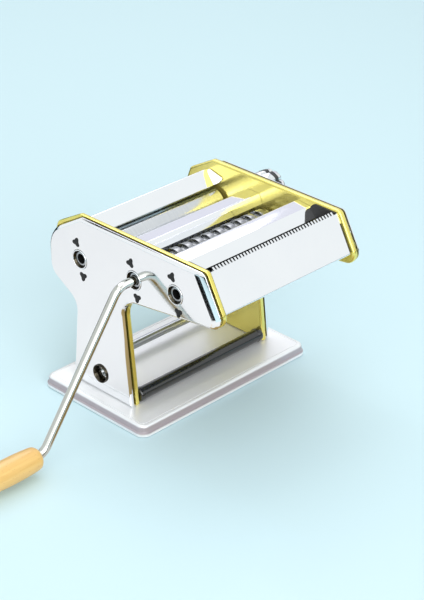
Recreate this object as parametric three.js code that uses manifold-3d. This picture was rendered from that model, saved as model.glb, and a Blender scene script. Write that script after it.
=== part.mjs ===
// Hand-cranked pasta machine: one pair of smooth sheet rollers, a wide and a fine cutter pair,
// all carried between two pan-shaped side frames on a pressed tray.
// Millimetres. X runs along the rollers (crank at -X, thickness knob at +X), -Y is the front
// where the noodles come out, +Z is up.

import * as THREE from 'three';
import { mergeVertices } from 'three/addons/utils/BufferGeometryUtils.js';
import Module from 'manifold-3d';

const wasm = await Module();
wasm.setup();

// ---------------------------------------------------------------- driving dimensions

// sheet metal and fits
const PLATE = 1.2;               // frames and side covers
const SHEET = 1.0;               // covers, panels and the tray
const COMB_SHEET = 0.8;          // combs and scrapers
const FIT = 0.3;                 // gap between pieces that seat on each other
const RUN = 0.2;                 // running clearance round a journal
const PRESS = 0.1;               // clearance of pieces fixed on a shaft
const OVERCUT = 1;               // how far a cutting tool reaches past the wall it opens

// tray
const BASE_LENGTH = 210.6;
const BASE_WIDTH = 131.2;
const BASE_HEIGHT = 11.2;
const BASE_CORNER = 9;
const BASE_LIP = 1.6;            // how far the lower edge stands out
const BASE_LIP_HEIGHT = 4;
const BASE_BEVEL = 2.4;
const BASE_FLOAT = 0.6;          // the rubber feet lift the skirt by this
const FOOT_RADIUS = 7;
const FOOT_TAPER = 1;            // smaller radius at its top
const FOOT_INSET = 18;           // from the tray's edges to a foot's axis

// side frames and side covers
const INNER_WIDTH = 156;         // between the two frame plates
const FRAME_DEPTH = 6;           // flange of the gold frame
const COVER_DEPTH = 4.6;         // depth of the chrome cover outside it
const COVER_SEAM = 0.4;
const COVER_ROUND = 2.6;         // rounding of the cover's rim
const HEAD_TOP = 175;

// corners of a side: distance behind the machine's middle, drop below the head's top, rounding
const FOOT_FRONT_Y = -33.8;
const FOOT_REAR_Y = 42.3;
const ARCH_Y = -22.4;            // inner corner of the throat under the head
const ARCH_DROP = 60.5;
const ARCH_ROUND = 18;
const NOSE_LOWER_Y = -145;
const NOSE_LOWER_DROP = 44.9;
const NOSE_LOWER_ROUND = 10;
const NOSE_UPPER_Y = -120.4;
const NOSE_UPPER_ROUND = 6;
const PEAK_Y = 27.5;
const PEAK_ROUND = 5;
const SHOULDER_Y = 68;
const SHOULDER_DROP = 32.3;
const SHOULDER_ROUND = 14;
const RUMP_Y = 68.5;
const RUMP_DROP = 64.7;
const RUMP_ROUND = 8;
const WAIST_Y = 35.2;
const WAIST_DROP = 83.9;
const WAIST_ROUND = 14;

// roller axes: distance behind the machine's middle, and drop below the head's top
const REAR_AXIS_Y = 28.1;
const REAR_AXIS_DROP = 39.7;
const MIDDLE_AXIS_Y = -40;
const MIDDLE_AXIS_DROP = 34.9;
const FRONT_AXIS_Y = -89.6;
const FRONT_AXIS_DROP = 29.7;

// rollers
const ROLLER_END_GAP = 3;        // roller end to frame plate
const JOURNAL_RADIUS = 4.5;
const SHEET_RADIUS = 15;
const SHEET_GAP_OPEN = 3;        // widest gap of the smooth rollers
const SHEET_GAP_CLOSED = 0.5;    // narrowest gap
const SHEET_MATE_RISE = 2.2;     // the adjustable roller stands this much higher
const WIDE_RADIUS = 12.6;
const WIDE_PITCH = 13;
const WIDE_MATE_RISE = -3.2;
const FINE_RADIUS = 12.2;
const FINE_PITCH = 3.6;
const FINE_MATE_RISE = 3.1;
const RIDGE_OVERLAP = 0.8;       // how far the ridges of a cutter pair reach past each other
const RIDGE_SIDE_GAP = 0.2;      // between a ridge and the walls of its groove
const NOODLE_ROOM = 1.9;         // between a ridge and the bottom of the groove it enters

// gears
const GEAR_WIDTH = 5;
const TOOTH_REACH = 0.075;       // share of half the axis distance that a tooth reaches past it
const TOOTH_TIP = 0.11;          // half-width of a tooth's tip and root, in pitches
const TOOTH_ROOT = 0.27;
const SHEET_TEETH = 14;
const WIDE_TEETH = 12;
const FINE_TEETH = 12;

// crank sockets
const SOCKET_RADIUS = 6.4;       // the turning sleeve
const SOCKET_BORE = 4.5;
const SOCKET_DEPTH = 24;         // depth of the crank's seat
const SEAT_FLAT = 2.8;           // from the axis to the flat of the D-shaped seat
const COLLAR_RADIUS = 8.8;       // the fixed bush round the sleeve
const COLLAR_STANDOUT = 4;       // beyond the cover's face
const STRAP_WIDTH = 7;
const RIVET_SPAN = 31.4;         // between the two staked rivets of a bush
const RIVET_TILT = 14.5;         // degrees from upright, top to the rear
const RIVET_RADIUS = 2;
const RIVET_HEAD = 3.2;
const RIVET_STANDOUT = 0.8;
const RIVET_LOBE = 0.18;         // depth of the three lobes, as a share of the head
const CLAMP_Y = 5.2;
const CLAMP_Z = 30.6;
const CLAMP_BORE = 6;
const EYELET_LIP = 1.6;
const EYELET_STANDOUT = 1.4;
const EYELET_ROLL = 0.6;

// thickness regulator
const KNOB_AXIS_Y = -16;
const KNOB_AXIS_DROP = 20;
const KNOB_RADIUS = 18;
const KNOB_LENGTH = 17;
const KNOB_WALL = 2.2;
const KNOB_LOBES = 8;
const KNOB_NOTCH = 1.6;
const KNOB_EDGE = 1.5;
const SHAFT_RADIUS = 3.5;
const CAM_RADIUS = 5.6;          // smallest radius of the spiral cams
const CAM_RANGE = 240;           // degrees of knob turn from widest to narrowest gap
const CAM_WIDTH = 2.2;
const CAM_SPARE = 25;            // degrees of spiral past each end of the range
const LUG_WIDTH = 6;             // lug of a bearing block, which a cam pushes
const BLOCK_RIM = 2;             // block outside the frame's slot
const HUB_RADIUS = 8;            // of a bearing block, in the frame's slot
const HUB_FLAT = 2;              // half-length of the hub's straight sides
const STOP_RADIUS = 12;          // the stop pin's circle
const STOP_PIN = 1.3;
const DIAL_RADIUS = 16;
const DIAL_THICKNESS = 1.4;

// bushes
const BUSH_RADIUS = 7;
const BUSH_FLANGE = 9;
const BUSH_FLANGE_WIDTH = 0.8;

// crank
const CRANK_RADIUS = 4;
const CRANK_THROW = 124;         // from the roller's axis to the grip's axis
const CRANK_LEAN = 35.6;         // degrees that the arm leans away from the machine
const CRANK_STUB = 13.5;         // from the collar's face to the first bend
const CRANK_BEND = 11;
const GRIP_GAP = 1;              // from the bend to the grip
const GRIP_LENGTH = 70;
const GRIP_RADIUS = 11.6;
const GRIP_NECK = 0.74;          // share of its radius at the end, plus most of the belly's rise
const NUT_RADIUS = 7.5;
const NUT_LENGTH = 7.5;
const NUT_SEAT = 6.2;            // depth of its blind hole

// cross members
const BAR_RADIUS = 6.5;          // black bar between the feet of the legs
const BAR_BACK = 3.5;            // its axis behind the legs' front edge
const BAR_ROUND = 1.9;
const ROD_RADIUS = 4;
const ROD_SPIGOT = 2.5;
const UPPER_ROD_IN = 12;         // in front of and below the shoulder's corner
const UPPER_ROD_DOWN = 8;
const LOWER_ROD_IN = 9;          // in front of the leg's rear edge and above its foot
const LOWER_ROD_UP = 10;

// combs and scrapers
const SCRAPER_SLOPE = 20;        // degrees
const SCRAPER_STRIP = 4;         // width of the strip behind a scraper's fingers
const BLADE_WIDTH = 13;
const COMB_STRIP = 9;
const COMB_REACH = 3.2;          // fingers beyond the front panel's edge
const COMB_BEND = 24;            // degrees that they lean back from the panel
const COMB_FINGER = 2;           // width of one of them

// covers between the sides
const REAR_SINK = 0.8;           // rear cover below the side covers' edge
const REAR_SLOPE = 15;           // from the peak to the crease above the chute
const CHUTE_RUN = 15;
const CHUTE_FALL = 9.7;
const CHEEK = 6;                 // size of the triangular cheek at each end of the chute
const REAR_BEND = 6;
const REAR_INSET = 1.5;
const REAR_LIP = 8;
const SADDLE_CLEAR = 2.5;        // saddle's inside above the regulator shaft
const SADDLE_TOP = 14;
const SADDLE_LEAN = 2;
const CHANNEL_START = 2.6;       // channel's front fold behind the fine cutter's axis
const CHANNEL_WIDTH = 15.5;
const CHANNEL_DROP = 4.6;        // channel's top below the head's top, at its rear edge
const CHANNEL_FALL = 1.3;
const CHANNEL_SLOPE = 8.4;       // run and fall of the slope from the front fold
const PANEL_SINK = 1.6;          // front panel behind the side covers' edge
const PANEL_START = 12;          // from the nose's lower corner
const PANEL_END = 1.2;           // from the nose's upper corner
const PANEL_LIP = 9;             // turned-in lower edge
const PANEL_LIP_FALL = 1.6;

// resolution of round shapes
const ARC_STEP = 30;             // degrees between points of an outline's corner
const ROUND_SIDES = 12;
const BAR_SIDES = 16;
const GRIP_SIDES = 14;
const GRIP_STEPS = 8;
const BEND_STEPS = 5;
const CAM_STEPS = 24;
const DIAL_STEPS = 12;
const SMOOTH_SIDES = 20;
const WIDE_SIDES = 10;
const FINE_SIDES = 8;

// ---------------------------------------------------------------- derived places

const innerX = INNER_WIDTH / 2;
const plateX = innerX + PLATE;
const flangeX = innerX + FRAME_DEPTH;
const coverX = flangeX + COVER_SEAM;
const faceX = coverX + COVER_DEPTH;
const coverInnerX = faceX - PLATE;
const collarX = faceX + COLLAR_STANDOUT;
const rollerX = innerX - ROLLER_END_GAP;
const panelX = innerX - FIT;

const blockX = plateX + FIT;
const blockEndX = blockX + CAM_WIDTH;
const gearX = blockEndX + FIT;
const gearEndX = gearX + GEAR_WIDTH;

const footZ = BASE_HEIGHT + FIT;
const headZ = (drop) => HEAD_TOP - drop;
const point = (y, z) => new THREE.Vector2(y, z);

// a mate sits in front of its driven roller at the given distance, raised by `rise`
function mateAxis(driven, distance, rise) {
  return point(driven.x - Math.sqrt(distance ** 2 - rise ** 2), driven.y + rise);
}

const sheetAxis = point(REAR_AXIS_Y, headZ(REAR_AXIS_DROP));
const wideAxis = point(MIDDLE_AXIS_Y, headZ(MIDDLE_AXIS_DROP));
const fineAxis = point(FRONT_AXIS_Y, headZ(FRONT_AXIS_DROP));
const sheetOpen = 2 * SHEET_RADIUS + SHEET_GAP_OPEN;
const sheetClosed = 2 * SHEET_RADIUS + SHEET_GAP_CLOSED;
const wideDistance = 2 * WIDE_RADIUS - RIDGE_OVERLAP;
const fineDistance = 2 * FINE_RADIUS - RIDGE_OVERLAP;
const sheetMate = mateAxis(sheetAxis, sheetOpen, SHEET_MATE_RISE);
const wideMate = mateAxis(wideAxis, wideDistance, WIDE_MATE_RISE);
const fineMate = mateAxis(fineAxis, fineDistance, FINE_MATE_RISE);
const carriageTravel = mateAxis(sheetAxis, sheetClosed, SHEET_MATE_RISE).x - sheetMate.x;
const knobAxis = point(KNOB_AXIS_Y, headZ(KNOB_AXIS_DROP));
const clampAxis = point(CLAMP_Y, CLAMP_Z);

const rivetTilt = THREE.MathUtils.degToRad(RIVET_TILT);
const rivetOffset = point(Math.sin(rivetTilt), Math.cos(rivetTilt)).multiplyScalar(RIVET_SPAN / 2);

const archCorner = point(ARCH_Y, headZ(ARCH_DROP));
const noseLower = point(NOSE_LOWER_Y, headZ(NOSE_LOWER_DROP));
const noseUpper = point(NOSE_UPPER_Y, HEAD_TOP);
const peak = point(PEAK_Y, HEAD_TOP);
const shoulder = point(SHOULDER_Y, headZ(SHOULDER_DROP));
const rump = point(RUMP_Y, headZ(RUMP_DROP));
const waist = point(WAIST_Y, headZ(WAIST_DROP));

// tie rods behind the rollers
const rodAxes = {
  rear_upper: point(shoulder.x - UPPER_ROD_IN, shoulder.y - UPPER_ROD_DOWN),
  rear_lower: point(FOOT_REAR_Y - LOWER_ROD_IN, footZ + LOWER_ROD_UP),
};

// ---------------------------------------------------------------- geometry helpers

// position-only, merged copy of a geometry without collapsed triangles, facing outwards
function weld(geometry) {
  const bare = geometry.clone();
  bare.deleteAttribute('normal');
  bare.deleteAttribute('uv');
  const merged = mergeVertices(bare, 1e-4);
  const index = Array.from(merged.index.array);
  const kept = [];
  for (let i = 0; i < index.length; i += 3) {
    const [a, b, c] = index.slice(i, i + 3);
    if (a !== b && b !== c && c !== a) kept.push(a, b, c);
  }
  merged.setIndex(kept);
  return signedVolume(merged) < 0 ? flip(merged) : merged;
}

function signedVolume(geometry) {
  const at = (i) => new THREE.Vector3().fromBufferAttribute(geometry.attributes.position, i);
  const index = geometry.index.array;
  let volume = 0;
  for (let i = 0; i < index.length; i += 3) {
    volume += at(index[i]).dot(at(index[i + 1]).cross(at(index[i + 2]))) / 6;
  }
  return volume;
}

function flip(geometry) {
  const index = Array.from(geometry.index.array);
  for (let i = 0; i < index.length; i += 3) {
    [index[i], index[i + 1]] = [index[i + 1], index[i]];
  }
  geometry.setIndex(index);
  return geometry;
}

function toManifold(geometry) {
  const welded = weld(geometry);
  return new wasm.Manifold(new wasm.Mesh({
    numProp: 3,
    vertProperties: new Float32Array(welded.attributes.position.array),
    triVerts: new Uint32Array(welded.index.array),
  }));
}

function toGeometry(solid) {
  const mesh = solid.getMesh();
  const geometry = new THREE.BufferGeometry();
  geometry.setAttribute('position', new THREE.BufferAttribute(new Float32Array(mesh.vertProperties), 3));
  geometry.setIndex(Array.from(mesh.triVerts));
  return geometry;
}

function join(...geometries) {
  return toGeometry(geometries.map(toManifold).reduce((whole, piece) => whole.add(piece)));
}

function cut(geometry, ...tools) {
  return toGeometry(tools.map(toManifold).reduce((whole, tool) => whole.subtract(tool), toManifold(geometry)));
}

function mirrorX(geometry) {
  return flip(weld(geometry).scale(-1, 1, 1));
}

// the same piece for the right hand (+1) or the left hand (-1)
const forHand = (geometry, hand) => (hand > 0 ? geometry : mirrorX(geometry));

const AXIS = { x: new THREE.Vector3(1, 0, 0), y: new THREE.Vector3(0, 1, 0), z: new THREE.Vector3(0, 0, 1) };

// outline in the Y-Z plane, run along X; options are those of ExtrudeGeometry's bevel
function alongX(shape, x0, x1, bevel = { bevelEnabled: false }) {
  const geometry = new THREE.ExtrudeGeometry(shape, { depth: x1 - x0, curveSegments: 1, ...bevel });
  geometry.applyMatrix4(new THREE.Matrix4().makeBasis(AXIS.y, AXIS.z, AXIS.x));
  return geometry.translate(x0, 0, 0);
}

// the same with the whole outline moved in (negative) or out (positive)
function alongXOffset(shape, x0, x1, offset) {
  return alongX(shape, x0, x1, {
    bevelEnabled: true, bevelThickness: 0, bevelSize: 0, bevelOffset: offset, bevelSegments: 0,
  });
}

// profile of [x, radius] pairs turned round an axis parallel to X through (y, z)
function turned(profile, axis, sides = ROUND_SIDES) {
  const points = profile.map(([x, radius]) => new THREE.Vector2(radius, x));
  const geometry = new THREE.LatheGeometry(points, sides);
  geometry.applyMatrix4(new THREE.Matrix4().makeBasis(AXIS.y, AXIS.x, AXIS.z.clone().negate()));
  return weld(geometry.translate(0, axis.x, axis.y));
}

function rod(x0, x1, radius, axis, sides = ROUND_SIDES) {
  return turned([[x0, 0], [x0, radius], [x1, radius], [x1, 0]], axis, sides);
}

function ring(x0, x1, inner, outer, axis, sides = ROUND_SIDES) {
  return turned([[x0, inner], [x0, outer], [x1, outer], [x1, inner], [x0, inner]], axis, sides);
}

// radius of a polygonal bore that a round pin of the given radius passes
const boreFor = (radius, sides = ROUND_SIDES) => radius / Math.cos(Math.PI / sides);

function box(x0, x1, y0, y1, z0, z1) {
  const geometry = new THREE.BoxGeometry(x1 - x0, y1 - y0, z1 - z0);
  return geometry.translate((x0 + x1) / 2, (y0 + y1) / 2, (z0 + z1) / 2);
}

const outline = (points) => new THREE.Shape(points.map(([y, z]) => new THREE.Vector2(y, z)));

// closed outline whose corners [y, z, radius] are rounded by arcs
function roundedOutline(corners) {
  const points = [];
  corners.forEach(([y, z, radius], i) => {
    const corner = new THREE.Vector2(y, z);
    if (radius === 0) {
      points.push(corner);
      return;
    }
    const count = corners.length;
    const before = new THREE.Vector2(...corners[(i + count - 1) % count]).sub(corner).normalize();
    const after = new THREE.Vector2(...corners[(i + 1) % count]).sub(corner).normalize();
    const half = Math.acos(before.dot(after)) / 2;
    const centre = before.clone().add(after).normalize().multiplyScalar(radius / Math.sin(half)).add(corner);
    const start = before.multiplyScalar(radius / Math.tan(half)).add(corner);
    const end = after.multiplyScalar(radius / Math.tan(half)).add(corner);
    const from = Math.atan2(start.y - centre.y, start.x - centre.x);
    let sweep = Math.atan2(end.y - centre.y, end.x - centre.x) - from;
    if (sweep > Math.PI) sweep -= 2 * Math.PI;
    if (sweep < -Math.PI) sweep += 2 * Math.PI;
    const steps = Math.max(2, Math.ceil(Math.abs(THREE.MathUtils.radToDeg(sweep)) / ARC_STEP));
    for (let step = 0; step <= steps; step += 1) {
      const angle = from + (sweep * step) / steps;
      points.push(new THREE.Vector2(centre.x + radius * Math.cos(angle), centre.y + radius * Math.sin(angle)));
    }
  });
  return new THREE.Shape(points);
}

// two half circles of the given radius round a and b, joined by straight sides
function obround(a, b, radius, sides = ROUND_SIDES) {
  const heading = Math.atan2(b.y - a.y, b.x - a.x);
  const points = [];
  for (let step = 0; step <= sides / 2; step += 1) {
    const angle = heading + Math.PI / 2 + (2 * Math.PI * step) / sides;
    points.push(new THREE.Vector2(a.x + radius * Math.cos(angle), a.y + radius * Math.sin(angle)));
  }
  for (let step = 0; step <= sides / 2; step += 1) {
    const angle = heading - Math.PI / 2 + (2 * Math.PI * step) / sides;
    points.push(new THREE.Vector2(b.x + radius * Math.cos(angle), b.y + radius * Math.sin(angle)));
  }
  return new THREE.Shape(points);
}

// section of a bent sheet: the path's points, and the same path moved to its left by `thickness`
function bentSheet(path, thickness) {
  const points = path.map(([y, z]) => new THREE.Vector2(y, z));
  const headings = points.slice(1).map((next, i) => next.clone().sub(points[i]).normalize());
  const inside = points.map((corner, i) => {
    const before = headings[Math.max(i - 1, 0)];
    const after = headings[Math.min(i, headings.length - 1)];
    const middle = before.clone().add(after).normalize();
    const left = new THREE.Vector2(-middle.y, middle.x);
    return left.multiplyScalar(thickness / middle.dot(after)).add(corner);
  });
  return new THREE.Shape([...points, ...inside.reverse()]);
}

// flat comb in its own plane: a strip of the given depth behind pointed fingers of the given
// length. `tip` is where the fingers end, and `heading` (y, z) points from there back along them.
function comb(tip, heading, places, width, length, depth) {
  const points = [new THREE.Vector2(panelX, length + depth), new THREE.Vector2(-panelX, length + depth)];
  points.push(new THREE.Vector2(-panelX, length));
  places.forEach((x) => {
    points.push(new THREE.Vector2(x - width / 2, length), new THREE.Vector2(x, 0));
    points.push(new THREE.Vector2(x + width / 2, length));
  });
  points.push(new THREE.Vector2(panelX, length));
  return flatPiece(new THREE.Shape(points), tip, heading, COMB_SHEET);
}

function flatPiece(shape, origin, heading, thickness) {
  const along = new THREE.Vector3(0, heading.x, heading.y).normalize();
  const across = new THREE.Vector3().crossVectors(AXIS.x, along);
  const geometry = new THREE.ExtrudeGeometry(shape, { depth: thickness, bevelEnabled: false });
  geometry.applyMatrix4(new THREE.Matrix4().makeBasis(AXIS.x, along, across));
  return weld(geometry.translate(0, origin.x, origin.y));
}

// ---------------------------------------------------------------- materials

const finish = (color, roughness, metalness) => ({ color, roughness, metalness });
const CHROME = finish('#dfe2e6', 0.12, 1.0);
const STEEL = finish('#b9bcc0', 0.3, 1.0);
const GOLD = finish('#e3c04a', 0.35, 0.8);
const BRASS = finish('#b9903f', 0.35, 1.0);
const BLACK = finish('#17181a', 0.3, 0.0);
const RUBBER = finish('#1f1f20', 0.85, 0.0);
const WOOD = finish('#c98d35', 0.5, 0.0);
const PLASTIC = finish('#eceae4', 0.35, 0.0);

const machine = new THREE.Group();

function addPiece(name, geometry, look) {
  const mesh = new THREE.Mesh(weld(geometry), new THREE.MeshStandardMaterial(look));
  mesh.name = name;
  machine.add(mesh);
}

// ---------------------------------------------------------------- tray and feet

function trayOutline(inset) {
  const x = BASE_LENGTH / 2 - inset;
  const y = BASE_WIDTH / 2 - inset;
  const radius = BASE_CORNER - inset / 2;
  return roundedOutline([[-x, -y, radius], [x, -y, radius], [x, y, radius], [-x, y, radius]]);
}

function trayLayer(inset, z0, z1, bevel) {
  const options = bevel
    ? { bevelEnabled: true, bevelThickness: bevel, bevelSize: bevel, bevelOffset: -bevel, bevelSegments: 1 }
    : { bevelEnabled: false };
  const depth = z1 - z0 - bevel;
  return new THREE.ExtrudeGeometry(trayOutline(inset), { depth, ...options }).translate(0, 0, z0);
}

function tray() {
  const inner = BASE_HEIGHT - SHEET;
  const far = BASE_LENGTH;
  const below = box(-far, far, -far, far, -far, BASE_FLOAT);
  const shell = join(
    trayLayer(0, BASE_FLOAT, BASE_LIP_HEIGHT, 0),
    trayLayer(BASE_LIP, BASE_FLOAT, BASE_HEIGHT, BASE_BEVEL),
  );
  const hollow = join(
    trayLayer(SHEET, -SHEET, BASE_LIP_HEIGHT - SHEET, 0),
    trayLayer(BASE_LIP + SHEET, 0, inner, BASE_BEVEL),
  );
  return cut(shell, hollow, below);
}

function addTray() {
  addPiece('base_tray', tray(), CHROME);
  const x = BASE_LENGTH / 2 - FOOT_INSET;
  const y = BASE_WIDTH / 2 - FOOT_INSET;
  const top = BASE_HEIGHT - SHEET - FIT;
  const places = { front_left: [-x, -y], front_right: [x, -y], rear_left: [-x, y], rear_right: [x, y] };
  for (const [corner, [footX, footY]] of Object.entries(places)) {
    const foot = new THREE.CylinderGeometry(FOOT_RADIUS - FOOT_TAPER, FOOT_RADIUS, top, BAR_SIDES);
    addPiece(`foot_${corner}`, foot.rotateX(Math.PI / 2).translate(footX, footY, top / 2), RUBBER);
  }
}

// ---------------------------------------------------------------- side frames and covers

// going round from the front foot
const rounded = (corner, radius) => [corner.x, corner.y, radius];
const sideOutline = roundedOutline([
  [FOOT_FRONT_Y, footZ, 0],
  rounded(archCorner, ARCH_ROUND),
  rounded(noseLower, NOSE_LOWER_ROUND),
  rounded(noseUpper, NOSE_UPPER_ROUND),
  rounded(peak, PEAK_ROUND),
  rounded(shoulder, SHOULDER_ROUND),
  rounded(rump, RUMP_ROUND),
  rounded(waist, WAIST_ROUND),
  [FOOT_REAR_Y, footZ, 0],
]);
const drivenAxes = { rear: sheetAxis, middle: wideAxis, front: fineAxis };

// slot that guides a bearing block's hub while the adjustable roller moves
function guideSlot(x0, x1) {
  const from = point(sheetMate.x - HUB_FLAT, sheetMate.y);
  const to = point(sheetMate.x + HUB_FLAT + carriageTravel, sheetMate.y);
  return alongX(obround(from, to, boreFor(HUB_RADIUS + FIT)), x0, x1);
}

function frame(hand) {
  const [x0, x1] = [innerX - OVERCUT, plateX + OVERCUT];
  const hole = (axis, radius) => rod(x0, x1, boreFor(radius + PRESS), axis);
  const bearings = hand > 0 ? BUSH_RADIUS : COLLAR_RADIUS;
  const holes = [
    ...Object.values(drivenAxes).map((axis) => hole(axis, bearings)),
    ...[wideMate, fineMate].map((axis) => hole(axis, BUSH_RADIUS)),
    hole(knobAxis, SHAFT_RADIUS + RUN),
    ...Object.values(rodAxes).map((axis) => hole(axis, ROD_SPIGOT)),
    guideSlot(x0, x1),
  ];
  if (hand < 0) holes.push(hole(clampAxis, CLAMP_BORE + PLATE));
  const hollow = alongXOffset(sideOutline, plateX, flangeX + OVERCUT, -PLATE);
  return forHand(cut(alongX(sideOutline, innerX, flangeX), hollow, ...holes), hand);
}

function cover(hand) {
  const round = {
    bevelEnabled: true,
    bevelThickness: COVER_ROUND,
    bevelSize: COVER_ROUND,
    bevelOffset: -COVER_ROUND,
    bevelSegments: 2,
  };
  const innerRound = COVER_ROUND - PLATE / 2;
  const hollowRound = {
    bevelEnabled: true,
    bevelThickness: innerRound,
    bevelSize: innerRound,
    bevelOffset: -innerRound - PLATE,
    bevelSegments: 1,
  };
  const behind = COVER_ROUND + OVERCUT;
  const shell = alongX(sideOutline, coverX - behind, faceX - COVER_ROUND, round);
  const hollow = alongX(sideOutline, coverX - behind, coverInnerX - innerRound, hollowRound);
  const far = HEAD_TOP * 2;
  const waste = box(-far, coverX, -far, far, -far, far);
  const hole = (axis, radius) => rod(coverInnerX - OVERCUT, faceX + OVERCUT, boreFor(radius), axis);
  const holes = [];
  if (hand > 0) holes.push(hole(knobAxis, SHAFT_RADIUS + RUN));
  if (hand < 0) {
    for (const axis of Object.values(drivenAxes)) {
      holes.push(hole(axis, COLLAR_RADIUS + FIT));
      holes.push(hole(axis.clone().add(rivetOffset), RIVET_RADIUS + FIT));
      holes.push(hole(axis.clone().sub(rivetOffset), RIVET_RADIUS + FIT));
    }
    holes.push(hole(clampAxis, CLAMP_BORE + PLATE + PRESS));
  }
  return forHand(cut(shell, hollow, waste, ...holes), hand);
}

// ---------------------------------------------------------------- cross members

// front edge of a leg at the given height
function legFront(z) {
  const share = (z - footZ) / (archCorner.y - footZ);
  return FOOT_FRONT_Y + (archCorner.x - FOOT_FRONT_Y) * share;
}

function addCrossMembers() {
  for (const [name, axis] of Object.entries(rodAxes)) {
    const profile = [
      [-plateX, 0], [-plateX, ROD_SPIGOT], [-panelX, ROD_SPIGOT], [-panelX, ROD_RADIUS],
      [panelX, ROD_RADIUS], [panelX, ROD_SPIGOT], [plateX, ROD_SPIGOT], [plateX, 0],
    ];
    addPiece(`${name}_tie_rod`, turned(profile, axis), STEEL);
  }
  const barZ = footZ + BAR_RADIUS;
  const axis = point(legFront(barZ) + BAR_BACK, barZ);
  const bar = [
    [-panelX, 0], [-panelX, BAR_RADIUS - BAR_ROUND], [-panelX + BAR_ROUND, BAR_RADIUS],
    [panelX - BAR_ROUND, BAR_RADIUS], [panelX, BAR_RADIUS - BAR_ROUND], [panelX, 0],
  ];
  addPiece('front_foot_bar', turned(bar, axis, BAR_SIDES), BLACK);
}

// ---------------------------------------------------------------- bushes and crank sockets

function addBush(name, axis, hand) {
  const bore = boreFor(JOURNAL_RADIUS + RUN);
  const seat = plateX + PRESS;
  const end = seat + BUSH_FLANGE_WIDTH;
  const profile = [
    [innerX, bore], [innerX, BUSH_RADIUS], [seat, BUSH_RADIUS], [seat, BUSH_FLANGE],
    [end, BUSH_FLANGE], [end, bore], [innerX, bore],
  ];
  addPiece(name, forHand(turned(profile, axis), hand), BRASS);
}

// three-lobed staked head
function rivetHead(centre) {
  const points = [];
  for (let step = 0; step < ROUND_SIDES; step += 1) {
    const angle = (2 * Math.PI * step) / ROUND_SIDES;
    const radius = RIVET_HEAD * (1 - RIVET_LOBE + RIVET_LOBE * Math.cos(3 * (angle - Math.PI / 2)));
    points.push([centre.x + radius * Math.cos(angle), centre.y + radius * Math.sin(angle)]);
  }
  const seat = faceX + PRESS;
  return alongX(outline(points), seat, seat + RIVET_STANDOUT);
}

// fixed bush of a crank socket: collar, strap behind the cover, two posts staked outside it
function socketBush(axis) {
  const strapX = coverInnerX - FIT;
  const ends = [axis.clone().add(rivetOffset), axis.clone().sub(rivetOffset)];
  const strap = alongX(obround(...ends, STRAP_WIDTH / 2), strapX - PLATE, strapX);
  const barrel = rod(innerX, collarX, COLLAR_RADIUS, axis);
  const posts = ends.map((end) => rod(strapX - PLATE / 2, faceX + RIVET_STANDOUT / 2, RIVET_RADIUS, end, 6));
  const bore = rod(innerX - OVERCUT, collarX + OVERCUT, boreFor(SOCKET_RADIUS + RUN), axis);
  return cut(join(strap, barrel, ...posts, ...ends.map(rivetHead)), bore);
}

// the seat's flat starts this far inside the sleeve's mouth
const seatSetback = 2 * PLATE;

// turning sleeve in the roller's end, with the crank's D-shaped seat
function socketSleeve(axis) {
  const outerX = collarX + PRESS;
  const innerEndX = outerX - SOCKET_DEPTH - SHEET;
  const sleeve = ring(innerEndX, outerX, boreFor(SOCKET_BORE), SOCKET_RADIUS, axis);
  const core = rod(innerEndX, outerX - seatSetback, (SOCKET_BORE + SOCKET_RADIUS) / 2, axis);
  const beyondFlat = box(
    innerEndX - OVERCUT, outerX,
    axis.x - SEAT_FLAT, axis.x + 2 * SOCKET_RADIUS,
    axis.y - SOCKET_RADIUS, axis.y + SOCKET_RADIUS,
  );
  return join(sleeve, cut(core, beyondFlat));
}

function addSockets() {
  for (const [place, axis] of Object.entries(drivenAxes)) {
    addPiece(`${place}_socket_bush`, mirrorX(socketBush(axis)), CHROME);
    addPiece(`${place}_crank_socket`, mirrorX(socketSleeve(axis)), STEEL);
    addBush(`${place}_drive_bush`, axis, 1);
  }
  for (const [name, axis] of Object.entries({ wide: wideMate, fine: fineMate })) {
    addBush(`${name}_mate_bush_left`, axis, -1);
    addBush(`${name}_mate_bush_right`, axis, 1);
  }
}

// ---------------------------------------------------------------- rollers

const sleeveEndX = -(collarX + PRESS - SOCKET_DEPTH - SHEET);

// left end of a driven roller: a recess for the socket's sleeve; of a mate: a plain journal
function leftEnd(driven, radius, sides) {
  if (!driven) {
    return [[-blockEndX, 0], [-blockEndX, JOURNAL_RADIUS], [-rollerX, JOURNAL_RADIUS], [-rollerX, radius]];
  }
  const recess = boreFor(SOCKET_RADIUS + PRESS, sides);
  return [[sleeveEndX + FIT, 0], [sleeveEndX + FIT, recess], [-rollerX, recess], [-rollerX, radius]];
}

function rightEnd(radius) {
  return [[rollerX, radius], [rollerX, JOURNAL_RADIUS], [gearEndX, JOURNAL_RADIUS], [gearEndX, 0]];
}

function smoothRoller(driven, axis) {
  const profile = [...leftEnd(driven, SHEET_RADIUS, SMOOTH_SIDES), ...rightEnd(SHEET_RADIUS)];
  return turned(profile, axis, SMOOTH_SIDES);
}

const ridgeWidth = (pitch) => pitch / 2 - RIDGE_SIDE_GAP;

// middles of a cutter's ridges: on whole pitches for a driven roller, between them for its mate
function ridgePlaces(pitch, driven) {
  const places = [];
  const start = driven ? 0 : pitch / 2;
  for (let x = start; x + ridgeWidth(pitch) / 2 < rollerX; x += pitch) {
    places.push(x);
    if (x > 0) places.unshift(-x);
  }
  return places;
}

function cutterRoller(driven, axis, outer, root, pitch, sides) {
  const half = ridgeWidth(pitch) / 2;
  const ridges = ridgePlaces(pitch, driven).flatMap((x) => [
    [x - half, root], [x - half, outer], [x + half, outer], [x + half, root],
  ]);
  return turned([...leftEnd(driven, root, sides), ...ridges, ...rightEnd(root)], axis, sides);
}

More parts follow.
